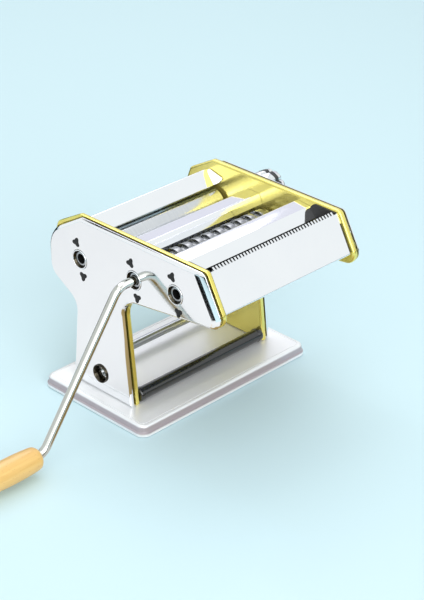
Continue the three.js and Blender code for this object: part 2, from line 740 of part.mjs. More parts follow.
const rootFor = (distance, outer) => distance - outer - NOODLE_ROOM;
const wideRoot = rootFor(wideDistance, WIDE_RADIUS);
const fineRoot = rootFor(fineDistance, FINE_RADIUS);

// ---------------------------------------------------------------- gears

const TOOTH_POINTS = [[-TOOTH_ROOT, false], [-TOOTH_TIP, true], [TOOTH_TIP, true], [TOOTH_ROOT, false]];

// straight-flanked teeth; `toward` is the angle of a tooth's middle, or of a gap's for a mate
function gearOutline(teeth, root, tip, toward, gap) {
  const pitch = (2 * Math.PI) / teeth;
  const points = [];
  for (let tooth = 0; tooth < teeth; tooth += 1) {
    const middle = toward + (tooth + (gap ? 0.5 : 0)) * pitch;
    for (const [turn, outer] of TOOTH_POINTS) {
      const angle = middle + turn * pitch;
      const radius = outer ? tip : root;
      points.push([radius * Math.cos(angle), radius * Math.sin(angle)]);
    }
  }
  return points;
}

// pair of equal gears; `least` is the smallest distance between their axes
function addGearPair(name, driven, mate, teeth, least) {
  const tip = (1 + TOOTH_REACH) * (least / 2);
  const root = least - tip - 2 * RUN;
  const angle = Math.atan2(mate.y - driven.y, mate.x - driven.x);
  const places = { drive: [driven, angle, false], mate: [mate, angle + Math.PI, true] };
  for (const [role, [axis, toward, gap]] of Object.entries(places)) {
    const points = gearOutline(teeth, root, tip, toward, gap).map(([y, z]) => [axis.x + y, axis.y + z]);
    const wheel = alongX(outline(points), gearX, gearEndX);
    const bore = rod(gearX - OVERCUT, gearEndX + OVERCUT, boreFor(JOURNAL_RADIUS + PRESS), axis);
    addPiece(`${name}_${role}_gear`, cut(wheel, bore), STEEL);
  }
}

function addRollers() {
  addPiece('sheet_drive_roller', smoothRoller(true, sheetAxis), CHROME);
  addPiece('sheet_adjustable_roller', smoothRoller(false, sheetMate), CHROME);
  const wide = [WIDE_RADIUS, wideRoot, WIDE_PITCH, WIDE_SIDES];
  const fine = [FINE_RADIUS, fineRoot, FINE_PITCH, FINE_SIDES];
  addPiece('wide_drive_cutter', cutterRoller(true, wideAxis, ...wide), STEEL);
  addPiece('wide_mate_cutter', cutterRoller(false, wideMate, ...wide), STEEL);
  addPiece('fine_drive_cutter', cutterRoller(true, fineAxis, ...fine), STEEL);
  addPiece('fine_mate_cutter', cutterRoller(false, fineMate, ...fine), STEEL);
  addGearPair('sheet', sheetAxis, sheetMate, SHEET_TEETH, sheetClosed);
  addGearPair('wide', wideAxis, wideMate, WIDE_TEETH, wideDistance);
  addGearPair('fine', fineAxis, fineMate, FINE_TEETH, fineDistance);
}

// ---------------------------------------------------------------- combs and scrapers

const fingerWidth = (pitch) => pitch - ridgeWidth(pitch) - 2 * FIT;

// comb under a cutter: its fingers lie in the grooves and lift the noodles off.
// `away` is +1 behind a driven roller and -1 in front of a mate.
function cutterScraper(axis, outer, root, pitch, driven, away) {
  const grip = root + FIT + COMB_SHEET;
  const steep = THREE.MathUtils.degToRad(SCRAPER_SLOPE);
  const outward = point(-away * Math.sin(steep), -Math.cos(steep));
  const heading = point(away * Math.cos(steep), -Math.sin(steep));
  const clear = away > 0 ? grip : grip - COMB_SHEET;
  const tip = outward.clone().multiplyScalar(clear).add(axis);
  const fingers = Math.sqrt((outer + FIT) ** 2 - (grip - COMB_SHEET) ** 2) + FIT;
  return comb(tip, heading, ridgePlaces(pitch, !driven), fingerWidth(pitch), fingers, SCRAPER_STRIP);
}

function blade(tip, heading) {
  const corners = [[-panelX, 0], [panelX, 0], [panelX, BLADE_WIDTH], [-panelX, BLADE_WIDTH]];
  return flatPiece(outline(corners), tip, heading, COMB_SHEET);
}

function addScrapers() {
  const wide = [WIDE_RADIUS, wideRoot, WIDE_PITCH];
  const fine = [FINE_RADIUS, fineRoot, FINE_PITCH];
  addPiece('wide_rear_scraper', cutterScraper(wideAxis, ...wide, true, 1), STEEL);
  addPiece('wide_front_scraper', cutterScraper(wideMate, ...wide, false, -1), STEEL);
  addPiece('fine_rear_scraper', cutterScraper(fineAxis, ...fine, true, 1), STEEL);
  addPiece('fine_front_scraper', cutterScraper(fineMate, ...fine, false, -1), STEEL);
  const under = SHEET_RADIUS + FIT;
  const rearTip = point(sheetAxis.x, sheetAxis.y - under - COMB_SHEET);
  addPiece('sheet_rear_scraper', blade(rearTip, point(1, 0)), STEEL);
  addPiece('sheet_front_scraper', blade(point(sheetMate.x, sheetMate.y - under), point(-1, 0)), STEEL);
}

// ---------------------------------------------------------------- covers and panels

// unit vector down the rear chamfer of the head, and the one pointing into the head
const chamfer = shoulder.clone().sub(peak).normalize();
const inward = point(chamfer.y, -chamfer.x);

// chute over the smooth rollers, the slope behind it, the back wall and its turned-in edge
function rearCover() {
  const onChamfer = (distance) => chamfer.clone().multiplyScalar(distance).add(peak)
    .addScaledVector(inward, REAR_SINK);
  const crease = onChamfer(REAR_SLOPE);
  const lip = point(crease.x - CHUTE_RUN, crease.y - CHUTE_FALL);
  const bend = onChamfer(shoulder.distanceTo(peak) - REAR_BEND);
  const back = shoulder.x - REAR_INSET;
  const foot = rump.y + REAR_LIP / 2;
  const path = [
    [back - REAR_LIP, foot], [back, foot + REAR_LIP / 2], [back, shoulder.y - REAR_BEND],
    [bend.x, bend.y], [crease.x, crease.y], [lip.x, lip.y],
  ];
  const section = bentSheet(path, SHEET);
  const half = SHEET / 2;
  const cheekShape = outline([
    [crease.x - 2 * half, crease.y - 2 * half], [lip.x, lip.y - half],
    [lip.x - CHEEK, lip.y + CHEEK], [crease.x - 2 * CHEEK / 3, crease.y + half],
  ]);
  const cheek = alongX(cheekShape, panelX - SHEET, panelX);
  return join(alongX(section, -panelX, panelX), cheek, mirrorX(cheek));
}

// saddle over the regulator shaft, between the smooth rollers and the wide cutter
function middleCover() {
  const top = knobAxis.y + SHAFT_RADIUS + SADDLE_CLEAR;
  const rear = knobAxis.x + SHAFT_RADIUS - PRESS;
  const front = rear - SADDLE_TOP;
  const path = [
    [rear + SADDLE_LEAN, knobAxis.y], [rear, top],
    [front, top], [front - 2 * SADDLE_LEAN, knobAxis.y - SADDLE_CLEAR],
  ];
  return alongX(bentSheet(path, SHEET), -panelX, panelX);
}

// channel between the wide and the fine cutter
function centreCover() {
  const front = fineAxis.x + CHANNEL_START;
  const rear = front + CHANNEL_WIDTH;
  const path = [
    [rear, wideMate.y + WIDE_RADIUS + 4 * SHEET], [rear, headZ(CHANNEL_DROP)],
    [front, headZ(CHANNEL_DROP + CHANNEL_FALL)],
    [front - CHANNEL_SLOPE, headZ(CHANNEL_DROP + CHANNEL_FALL + CHANNEL_SLOPE)],
  ];
  return alongX(bentSheet(path, SHEET), -panelX, panelX);
}

// the nose's front edge runs from noseLower to noseUpper; the panel lies just inside it
const noseHeading = noseUpper.clone().sub(noseLower).normalize();
const noseInward = point(noseHeading.y, -noseHeading.x);
const onNose = (distance, depth) => noseHeading.clone().multiplyScalar(distance).add(noseLower)
  .addScaledVector(noseInward, depth);
const panelEnd = noseUpper.distanceTo(noseLower) - PANEL_END;

function frontPanel() {
  const top = onNose(panelEnd, PANEL_SINK);
  const low = onNose(PANEL_START, PANEL_SINK);
  const path = [[top.x, top.y], [low.x, low.y], [low.x + PANEL_LIP, low.y - PANEL_LIP_FALL]];
  return alongX(bentSheet(path, SHEET), -panelX, panelX);
}

// comb behind the panel, bent back along the panel's upper edge, with slots cut down to the bend
function frontComb() {
  const bend = onNose(panelEnd, PANEL_SINK + SHEET + PRESS);
  const back = noseHeading.clone().rotateAround(point(0, 0), -THREE.MathUtils.degToRad(COMB_BEND));
  const under = point(back.y, -back.x);
  const tip = bend.clone().addScaledVector(back, COMB_REACH);
  const foot = bend.clone().addScaledVector(noseHeading, -COMB_STRIP);
  const sheet = bentSheet([tip, bend, foot].map(({ x, y }) => [x, y]), COMB_SHEET);
  const reach = COMB_REACH + OVERCUT;
  const start = bend.clone().addScaledVector(back, reach).addScaledVector(under, -OVERCUT);
  const edges = ridgePlaces(FINE_PITCH, true).flatMap((x) => [x - COMB_FINGER / 2, x + COMB_FINGER / 2]);
  const ends = [-panelX - OVERCUT, ...edges, panelX + OVERCUT];
  const slots = ends.flatMap((x0, i) => {
    if (i % 2) return [];
    const x1 = ends[i + 1];
    const slot = outline([[x0, 0], [x1, 0], [x1, reach], [x0, reach]]);
    return [flatPiece(slot, start, back.clone().negate(), COMB_SHEET + 2 * OVERCUT)];
  });
  return cut(alongX(sheet, -panelX, panelX), ...slots);
}

function addCovers() {
  addPiece('rear_cover', rearCover(), CHROME);
  addPiece('middle_cover', middleCover(), CHROME);
  addPiece('centre_cover', centreCover(), CHROME);
  addPiece('front_panel', frontPanel(), CHROME);
  addPiece('front_comb', frontComb(), CHROME);
}

// ---------------------------------------------------------------- thickness regulator

// block that carries the adjustable roller's journal: a hub in the frame's slot and a plate
// outside it with a lug that the spiral cam pushes
function bearingBlock() {
  const lugY = knobAxis.x + CAM_RADIUS + FIT;
  const lug = outline([
    [lugY, sheetMate.y], [lugY + LUG_WIDTH, sheetMate.y],
    [lugY + LUG_WIDTH, knobAxis.y + CAM_RADIUS], [lugY, knobAxis.y + CAM_RADIUS],
  ]);
  const a = point(sheetMate.x - HUB_FLAT, sheetMate.y);
  const b = point(sheetMate.x + HUB_FLAT, sheetMate.y);
  const hub = alongX(obround(a, b, HUB_RADIUS), innerX, blockX + CAM_WIDTH / 2);
  const plate = alongX(obround(a, b, HUB_RADIUS + BLOCK_RIM), blockX, blockEndX);
  const bore = rod(innerX - OVERCUT, blockEndX + OVERCUT, boreFor(JOURNAL_RADIUS + RUN), sheetMate);
  return cut(join(hub, plate, alongX(lug, blockX, blockEndX)), bore);
}

// spiral whose radius toward the lug grows evenly as the knob turns, then falls back
function camOutline() {
  const points = [];
  const spare = CAM_SPARE / CAM_RANGE;
  const fallRange = 360 - CAM_RANGE - 2 * CAM_SPARE;
  for (let step = 0; step < CAM_STEPS; step += 1) {
    const angle = CAM_SPARE - (360 * step) / CAM_STEPS;
    const past = -angle - CAM_RANGE - CAM_SPARE;
    const lift = past < 0 ? -angle / CAM_RANGE : 1 + spare - (past / fallRange) * (1 + 2 * spare);
    const radius = CAM_RADIUS + carriageTravel * lift;
    const turn = THREE.MathUtils.degToRad(angle);
    points.push([knobAxis.x + radius * Math.cos(turn), knobAxis.y + radius * Math.sin(turn)]);
  }
  return outline(points.reverse());
}

function knob() {
  const startX = faceX + FIT + DIAL_THICKNESS + FIT;
  const endX = startX + KNOB_LENGTH;
  const points = [];
  const steps = KNOB_LOBES * 4;
  for (let step = 0; step < steps; step += 1) {
    const angle = (2 * Math.PI * step) / steps;
    const radius = KNOB_RADIUS - KNOB_NOTCH * Math.abs(Math.cos((KNOB_LOBES * angle) / 2)) ** 6;
    points.push([knobAxis.x + radius * Math.cos(angle), knobAxis.y + radius * Math.sin(angle)]);
  }
  const round = {
    bevelEnabled: true,
    bevelThickness: KNOB_EDGE,
    bevelSize: KNOB_EDGE,
    bevelOffset: -KNOB_EDGE,
    bevelSegments: 1,
  };
  const body = alongX(outline(points), startX + KNOB_EDGE, endX - KNOB_EDGE, round);
  const cupRadius = KNOB_RADIUS - KNOB_NOTCH - KNOB_WALL;
  const cup = rod(startX - OVERCUT, endX - 3 * KNOB_WALL, cupRadius, knobAxis, SMOOTH_SIDES);
  const hub = rod(startX, endX - KNOB_WALL, SHAFT_RADIUS + KNOB_WALL, knobAxis);
  const seat = rod(startX - OVERCUT, endX - 1.5 * KNOB_WALL, boreFor(SHAFT_RADIUS + PRESS), knobAxis);
  const pinAxis = point(knobAxis.x + STOP_RADIUS, knobAxis.y);
  const pin = rod(faceX + 2 * FIT, endX - 2 * KNOB_WALL, STOP_PIN, pinAxis, 8);
  return cut(join(cut(body, cup), hub, pin), seat);
}

// dial with the arc slot that the knob's stop pin runs in
function dial() {
  const x0 = faceX + FIT / 2;
  const x1 = x0 + DIAL_THICKNESS;
  const disc = ring(x0, x1, boreFor(SHAFT_RADIUS + RUN, CAM_STEPS), DIAL_RADIUS, knobAxis, CAM_STEPS);
  const half = STOP_PIN + FIT;
  const spare = THREE.MathUtils.radToDeg((half + FIT) / STOP_RADIUS);
  const arc = (radius, flipped) => Array.from({ length: DIAL_STEPS + 1 }, (_, i) => {
    const share = flipped ? 1 - i / DIAL_STEPS : i / DIAL_STEPS;
    const angle = THREE.MathUtils.degToRad(-spare + share * (CAM_RANGE + 2 * spare));
    return [knobAxis.x + radius * Math.cos(angle), knobAxis.y + radius * Math.sin(angle)];
  });
  const slot = outline([...arc(STOP_RADIUS + half, false), ...arc(STOP_RADIUS - half, true)]);
  return cut(disc, alongX(slot, x0 - OVERCUT, x1 + OVERCUT));
}

function addRegulator() {
  for (const [side, hand] of [['left', -1], ['right', 1]]) {
    addPiece(`bearing_block_${side}`, forHand(bearingBlock(), hand), STEEL);
    const disc = alongX(camOutline(), blockX, blockEndX);
    const bore = rod(blockX - OVERCUT, blockEndX + OVERCUT, boreFor(SHAFT_RADIUS + PRESS), knobAxis);
    addPiece(`thickness_cam_${side}`, forHand(cut(disc, bore), hand), BRASS);
  }
  const shaftEnd = faceX + KNOB_LENGTH - KNOB_WALL;
  addPiece('regulator_shaft', rod(-blockEndX, shaftEnd, SHAFT_RADIUS, knobAxis), STEEL);
  addPiece('regulator_knob', knob(), PLASTIC);
  addPiece('regulator_dial', dial(), CHROME);
}

// ---------------------------------------------------------------- crank

const lean = THREE.MathUtils.degToRad(CRANK_LEAN);
const firstBend = point(-(collarX + CRANK_STUB), wideAxis.y);
const secondBend = point(firstBend.x - CRANK_THROW * Math.tan(lean), wideAxis.y - CRANK_THROW);
const bendReach = CRANK_BEND * Math.tan(Math.PI / 4 - lean / 2);
const gripStart = secondBend.x - bendReach - GRIP_GAP;
const gripEnd = gripStart - GRIP_LENGTH;
const gripAxis = point(wideAxis.x, secondBend.y);
const gripBore = CRANK_RADIUS + RUN;

// broken line through given points, one step of an extrusion from each point to the next
class Route extends THREE.Curve {
  constructor(points) {
    super();
    this.points = points;
  }

  getPointAt(share) {
    const place = share * (this.points.length - 1);
    const i = Math.min(Math.floor(place), this.points.length - 2);
    return this.points[i].clone().lerp(this.points[i + 1], place - i);
  }

  getTangentAt(share) {
    const i = Math.round(share * (this.points.length - 1));
    const before = this.points[Math.max(i - 1, 0)];
    const after = this.points[Math.min(i + 1, this.points.length - 1)];
    const here = this.points[i];
    const arriving = i > 0 ? here.clone().sub(before).normalize() : new THREE.Vector3();
    const leaving = i < this.points.length - 1 ? after.clone().sub(here).normalize() : new THREE.Vector3();
    return arriving.add(leaving).normalize();
  }
}

// centre line of the bent rod, in the plane of the roller's axis
function crankPath() {
  const at = (v) => new THREE.Vector3(v.x, wideAxis.x, v.y);
  const start = point(-(collarX - SOCKET_DEPTH + 2 * FIT), wideAxis.y);
  const end = point(gripEnd - FIT - NUT_SEAT + RUN, secondBend.y);
  const corners = [start, firstBend, secondBend, end];
  const towards = (from, to) => to.clone().sub(from).normalize().multiplyScalar(bendReach).add(from);
  const route = [at(start)];
  for (let i = 1; i < corners.length - 1; i += 1) {
    const enter = towards(corners[i], corners[i - 1]);
    const leave = towards(corners[i], corners[i + 1]);
    const bend = new THREE.QuadraticBezierCurve3(at(enter), at(corners[i]), at(leave));
    route.push(...bend.getPoints(BEND_STEPS));
  }
  route.push(at(end));
  return new Route(route);
}

function crankRod() {
  const section = new THREE.Shape();
  section.absarc(0, 0, CRANK_RADIUS, 0, 2 * Math.PI);
  const path = crankPath();
  const bar = new THREE.ExtrudeGeometry(section, {
    extrudePath: path, steps: path.points.length - 1, curveSegments: BEND_STEPS, bevelEnabled: false,
  });
  const flat = box(
    -collarX - PRESS + seatSetback - FIT, -collarX + SOCKET_DEPTH + OVERCUT,
    wideAxis.x - 2 * CRANK_RADIUS, wideAxis.x - SEAT_FLAT + FIT,
    wideAxis.y - 2 * CRANK_RADIUS, wideAxis.y + 2 * CRANK_RADIUS,
  );
  return cut(bar, flat);
}

function grip() {
  const belly = (share) => GRIP_NECK + (1 - GRIP_NECK) * Math.sin(Math.PI * (1 + 6 * share) / 7) ** 0.8;
  const outside = [];
  for (let step = 0; step <= GRIP_STEPS; step += 1) {
    const share = step / GRIP_STEPS;
    outside.push([gripStart - GRIP_LENGTH * share, GRIP_RADIUS * belly(share)]);
  }
  const bore = boreFor(gripBore, GRIP_SIDES);
  const profile = [[gripStart, bore], ...outside, [gripEnd, bore], [gripStart, bore]];
  return turned(profile, gripAxis, GRIP_SIDES);
}

function addCrank() {
  addPiece('crank_rod', crankRod(), CHROME);
  addPiece('crank_grip', grip(), WOOD);
  const nutX = gripEnd - FIT;
  const bore = boreFor(CRANK_RADIUS + PRESS, GRIP_SIDES);
  const at = (share, radius) => [nutX - share * NUT_LENGTH, radius * NUT_RADIUS];
  const nut = [
    [nutX - NUT_SEAT, 0], [nutX - NUT_SEAT, bore], [nutX, bore], at(0, 1), at(0.16, 1),
    at(0.32, 0.83), at(0.67, 0.72), at(1, 0.33), at(1, 0),
  ];
  addPiece('grip_cap_nut', turned(nut, gripAxis, GRIP_SIDES), CHROME);
}

// ---------------------------------------------------------------- clamp hole

function addClampEyelet() {
  const bore = boreFor(CLAMP_BORE);
  const barrel = CLAMP_BORE + PLATE;
  const seat = faceX + PRESS;
  const rim = seat + EYELET_STANDOUT;
  const profile = [
    [innerX, bore], [innerX, barrel], [seat, barrel], [seat, barrel + EYELET_LIP],
    [rim - EYELET_ROLL, barrel + EYELET_LIP], [rim, barrel + EYELET_LIP - EYELET_ROLL],
    [rim, bore + EYELET_ROLL], [rim - EYELET_ROLL, bore], [innerX, bore],
  ];
  addPiece('clamp_eyelet', mirrorX(turned(profile, clampAxis)), CHROME);
}

// ---------------------------------------------------------------- assembly

addTray();
for (const [side, hand] of [['left', -1], ['right', 1]]) {
  addPiece(`${side}_frame`, frame(hand), GOLD);
  addPiece(`${side}_cover`, cover(hand), CHROME);
}
addCrossMembers();
addSockets();
addRollers();
addScrapers();
addCovers();
addRegulator();
addCrank();
addClampEyelet();

// the origin is the middle of the whole box, on the table
const bounds = new THREE.Box3().setFromObject(machine);
const middle = bounds.getCenter(new THREE.Vector3());
machine.position.set(-middle.x, -middle.y, -bounds.min.z);

const product = new THREE.Group();
product.add(machine);
export default product;
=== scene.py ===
"""Looks of the hand-cranked pasta machine: pressed chrome sides over gold frames, ridged cutter
rollers between them, and a bent crank with a wooden grip.

Shapes are worked out in millimetres from the middle of the tray, on the table: X runs along the
rollers (crank at -X, thickness knob at +X), -Y is the front where the noodles come out, +Z is up.
"""

from math import cos, pi, radians, sin, tan

import bmesh
import bpy
import numpy as np
from mathutils import Euler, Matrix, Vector
from mathutils.geometry import delaunay_2d_cdt


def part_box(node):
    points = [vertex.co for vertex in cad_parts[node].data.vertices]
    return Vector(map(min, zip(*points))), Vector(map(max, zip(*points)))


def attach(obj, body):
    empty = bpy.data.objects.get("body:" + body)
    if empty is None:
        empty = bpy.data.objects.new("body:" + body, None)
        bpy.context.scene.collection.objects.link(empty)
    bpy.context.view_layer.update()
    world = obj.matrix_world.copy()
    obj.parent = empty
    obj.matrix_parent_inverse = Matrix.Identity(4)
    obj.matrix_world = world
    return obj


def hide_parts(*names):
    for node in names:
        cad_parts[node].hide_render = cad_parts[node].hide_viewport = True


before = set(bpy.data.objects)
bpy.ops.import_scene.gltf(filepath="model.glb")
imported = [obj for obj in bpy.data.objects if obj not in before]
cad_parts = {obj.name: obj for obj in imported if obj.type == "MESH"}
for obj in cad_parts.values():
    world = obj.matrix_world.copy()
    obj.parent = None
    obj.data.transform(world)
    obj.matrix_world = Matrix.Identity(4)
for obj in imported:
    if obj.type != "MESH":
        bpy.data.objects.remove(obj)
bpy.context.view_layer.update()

MM = 0.001

# ---------------------------------------------------------------- places taken from the frame

TRAY_LOW, TRAY_HIGH = (np.array(corner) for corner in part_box("base_tray"))
MIDDLE = (TRAY_LOW + TRAY_HIGH) / 2 * (1, 1, 0)


def box(node):
    """Lowest and highest corner of a CAD node, in millimetres from the tray's middle."""
    low, high = (np.array(corner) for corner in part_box(node))
    return (low - MIDDLE) / MM, (high - MIDDLE) / MM


def axis_of(node):
    """Line parallel to X through the middle of a CAD node, as (y, z)."""
    low, high = box(node)
    return (low + high)[1:] / 2


def reach(node):
    """Radius of a round CAD node that turns about a line parallel to X."""
    low, high = box(node)
    return (high - low)[1:].max() / 2


SIDE_LOW, SIDE_HIGH = box("left_frame")
COVER_LOW, COVER_HIGH = box("left_cover")
INNER = -SIDE_HIGH[0]             # from the middle to a frame's plate
FLANGE = -SIDE_LOW[0]             # to the edge of the frame's flange
SEAT = -COVER_HIGH[0]             # to the cover's open edge
FACE = -COVER_LOW[0]              # to the cover's face
COLLAR = -box("middle_socket_bush")[0][0]
PANEL = box("front_panel")[1][0]  # half length of the covers between the sides
HEAD_TOP = SIDE_HIGH[2]
FOOT = SIDE_LOW[2]

DRIVEN = {
    "rear": axis_of("sheet_drive_roller"),
    "middle": axis_of("wide_drive_cutter"),
    "front": axis_of("fine_drive_cutter"),
}
MATES = {
    "sheet": axis_of("sheet_adjustable_roller"),
    "wide": axis_of("wide_mate_cutter"),
    "fine": axis_of("fine_mate_cutter"),
}
KNOB_AXIS = axis_of("regulator_shaft")
CLAMP_AXIS = axis_of("clamp_eyelet")
ROLLER_END = INNER - 3            # the rollers end this far from the middle

# ---------------------------------------------------------------- sizes of the sheet metal

PLATE = 1.2                       # frames and side covers
SHEET = 1.0                       # covers, panels and the tray
LIP = 1.6                         # the tray's lower edge stands out
LIP_HEIGHT = 4.0
EDGE = 0.25                       # broken edge of a cut sheet
SUPPORT = 0.5                     # flat ring beside a rounded edge, which keeps the flat face flat

# radius of each hole in the side covers and the frames
COLLAR_HOLE = 9.1                 # in the left cover, round a socket's collar
COLLAR_SEAT = 8.9                 # in the left frame, under it
POST_HOLE = 2.05                  # for a collar's rivet post
BUSH_HOLE = 7.1
BLOCK_HOLE = 8.4                  # in which the adjustable roller's journal slides
SHAFT_HOLE = 3.8                  # for the regulator's shaft
ROD_HOLE = 2.7                    # for the thin end of a tie rod
CLAMP_HOLE = 7.3

# corners of a side, anticlockwise seen from +X: behind the tray's middle, height, rounding
SIDE = [
    (42.3, FOOT, 0.6),
    (35.2, HEAD_TOP - 83.9, 14),
    (68.5, HEAD_TOP - 64.2, 17),
    (68.5, HEAD_TOP - 25.2, 27),
    (26.5, HEAD_TOP, 5),
    (-120.4, HEAD_TOP, 6),
    (-145.0, HEAD_TOP - 44.9, 10),
    (-22.4, HEAD_TOP - 60.5, 18),
    (-33.8, FOOT, 0.6),
]
# the frame stands out beyond its cover over the rear slope
FRAME_SIDE = SIDE[:3] + [
    (68.5, HEAD_TOP - 33.0, 14),
    (62.0, HEAD_TOP - 16.2, 7),
    (33.0, HEAD_TOP, 5),
] + SIDE[5:]

# ---------------------------------------------------------------- shapes as whole arrays


def left_of(angle):
    """Unit vectors to the left of headings given as angles."""
    return np.stack([-np.sin(angle), np.cos(angle)], axis=-1)


def rounded(corners, inset=0.0, closed=True, step=8.0):
    """Line through corners (a, b, radius) with an arc in each corner, moved to its left.

    The inset is one distance, or one for each edge. An arc's radius loses the inset where the line
    turns left and gains it where the line turns right. Returns the points and their headings.
    """
    line = np.array([corner[:2] for corner in corners], float)
    radius = np.array([corner[2] for corner in corners], float)
    ahead = np.roll(line, -1, axis=0) - line
    after = np.arctan2(ahead[:, 1], ahead[:, 0])
    before = np.roll(after, 1)
    if not closed:
        after[-1] = before[-1]
        before[0] = after[0]
    turn = (after - before + pi) % (2 * pi) - pi
    side = np.sign(turn)
    inset_after = np.broadcast_to(inset, len(line))
    inset_before = np.roll(inset_after, 1)
    arc = np.maximum(radius - side * (inset_before + inset_after) / 2, 0.05)
    lean = np.cos(turn)[:, None]
    away_before = (inset_before + side * arc)[:, None]
    away_after = (inset_after + side * arc)[:, None]
    crossing = ((away_before - away_after * lean) * left_of(before)
                + (away_after - away_before * lean) * left_of(after)) / np.maximum(1 - lean ** 2, 1e-9)
    centre = line + np.where(lean > 0.99999, away_after * left_of(after), crossing)
    counts = 2 + (np.abs(turn) / radians(step)).astype(int)
    counts[np.abs(turn) < 1e-6] = 1
    corner = np.repeat(np.arange(len(line)), counts)
    share = np.concatenate([np.linspace(0, 1, count) for count in counts])
    heading = before[corner] + turn[corner] * share
    points = centre[corner] - (side * arc)[corner][:, None] * left_of(heading)
    return points, heading


def full_turn(sides):
    """Angles all the way round."""
    return np.linspace(0, 2 * pi, sides, endpoint=False)


def circle(centre, radius, sides):
    """Points of a circle round (a, b)."""
    angle = full_turn(sides)
    return np.column_stack([centre[0] + radius * np.cos(angle), centre[1] + radius * np.sin(angle)])


def around_x(x, radius, axis, angle):
    """Rows of points at x, and at the axis plus the radius times the angle's cosine and sine."""
    radius = np.broadcast_to(radius, (len(x), len(angle)))
    return np.stack([np.broadcast_to(x, radius.shape), axis[0] + radius * np.cos(angle),
                     axis[1] + radius * np.sin(angle)], axis=-1)


def grid_faces(index, around=False, along=False):
    """Four-cornered faces of a grid of vertex numbers, closed along either direction."""
    if around:
        index = np.column_stack([index, index[:, :1]])
    if along:
        index = np.vstack([index, index[:1]])
    corners = [index[:-1, :-1], index[1:, :-1], index[1:, 1:], index[:-1, 1:]]
    return np.stack(corners, axis=-1).reshape(-1, 4).tolist()


class Shell:
    """Vertices in millimetres and faces of one piece, gathered grid by grid."""

    def __init__(self):
        """Starts empty."""
        self.rows = []
        self.faces = []
        self.count = 0

    def grid(self, points, around=False, along=False):
        """Adds a grid of points, rows by columns, with its faces; returns its vertex numbers."""
        points = np.asarray(points, float)
        index = np.arange(points.shape[0] * points.shape[1]).reshape(points.shape[:2]) + self.count
        self.rows.append(points.reshape(-1, 3))
        self.count += index.size
        self.faces += grid_faces(index, around, along)
        return index

    def lid(self, rings, flat):
        """Fills the first ring of vertex numbers, leaving out the later ones, which are convex."""
        owner = np.repeat(np.arange(len(rings)), [len(ring) for ring in rings])
        number = np.concatenate(rings)
        starts = np.cumsum([0] + [len(ring) for ring in rings])
        edges = []
        for start, ring in zip(starts, rings):
            here = np.arange(len(ring)) + start
            edges += np.column_stack([here, np.roll(here, -1)]).tolist()
        found = delaunay_2d_cdt([Vector(point) for point in flat], edges, [], 1, 1e-6)
        source = np.array([origins[0] for origins in found[3]])
        triangles = source[np.array(found[2])]
        rim = owner[triangles]
        inside_hole = (rim[:, 0] > 0) & (rim == rim[:, :1]).all(axis=1)
        self.faces += number[triangles[~inside_hole]].tolist()

    def points(self):
        """All vertices, in the order of their numbers."""
        return np.concatenate(self.rows)


def to_sides(hand):
    """Places (y, z, distance from the middle) on the side of that hand."""
    return lambda points: points[..., [2, 0, 1]] * (hand, 1, 1)


def to_table(points):
    """Places (x, y, height) as it is."""
    return points


def stacked(plane, height):
    """Rings of plane points, each at its height, as a grid of space points."""
    plane = np.asarray(plane)
    level = np.broadcast_to(np.asarray(height, float)[:, None, None], plane.shape[:2] + (1,))
    return np.concatenate([plane, level], axis=-1)


def pan(shell, corners, profile, place, holes=(), widen=1):
    """Pressed sheet: a rounded outline carried along a profile of (inset, height, spread) steps,
    closed by a flat lid at the first and the last step. The spread is an inset that each edge
    takes `widen` times. Each hole (a, b, radius) has a broken edge.
    """
    rings = [rounded(corners, inset + spread * np.asarray(widen))[0] for inset, _, spread in profile]
    heights = [height for _, height, _ in profile]
    walls = shell.grid(place(stacked(rings, heights)), around=True)
    down = np.sign(heights[-1] - heights[0])
    ends = [[walls[0]], [walls[-1]]]
    flats = [[rings[0]], [rings[-1]]]
    for a, b, radius in holes:
        steps = [(SUPPORT + EDGE, 0, 0), (EDGE, 0, 0), (0, 0, EDGE), (0, 1, 0), (SUPPORT, 1, 0)]
        bore = [circle((a, b), radius + wider, 48) for wider, _, _ in steps]
        levels = [heights[-end] + down * sunk for _, end, sunk in steps]
        wall = shell.grid(place(stacked(bore, levels)), around=True)
        ends[0].append(wall[0])
        ends[1].append(wall[-1])
        flats[0].append(bore[0])
        flats[1].append(bore[-1])
    for rim, flat in zip(ends, flats):
        shell.lid(rim, np.concatenate(flat))
    return shell


def turned(shell, profile, axis, sides=64, closed=False, step=15.0, stretch=np.ones_like):
    """Profile of (x, radius, rounding) corners carried round a line parallel to X.

    stretch, a function of the angle, scales the radius; a profile that isn't closed starts and
    ends on the line itself.
    """
    line = rounded(profile, 0.0, closed, step)[0]
    angle = full_turn(sides)
    radius = np.maximum(line[:, 1:], 0) * stretch(angle)
    shell.grid(around_x(line[:, :1], radius, axis, angle), around=True, along=closed)
    return shell


def folded(corners, short=0):
    """Bent sheet between the sides: a line with rounded folds and the same line moved to its left by
    the sheet's thickness, carried along X from one panel end to the other, or so much short of it.
    """
    outer, heading = rounded(corners, 0.0, closed=False)
    inner = outer + SHEET * left_of(heading)
    section = np.concatenate([outer, inner[::-1]])
    x = np.array([-PANEL, -PANEL + SUPPORT, PANEL - short - SUPPORT, PANEL - short])
    points = np.empty((len(x), len(section), 3))
    points[..., 0] = x[:, None]
    points[..., 1:] = section
    shell = Shell()
    index = shell.grid(points, around=True)
    count = len(outer)
    for row in (index[0], index[-1]):
        shell.faces += grid_faces(np.stack([row[:count], row[count:][::-1]]))
    return shell


def plain(steps):
    """Profile steps (inset, height) without a spread."""
    return [(inset, height, 0) for inset, height in steps]


def slab(shell, corners, x0, x1):
    """Flat plate across X with broken edges."""
    rim = [(EDGE + SUPPORT, x0), (EDGE, x0), (0, x0 + EDGE), (0, x1 - EDGE), (EDGE, x1), (EDGE + SUPPORT, x1)]
    return pan(shell, corners, plain(rim), to_sides(1))


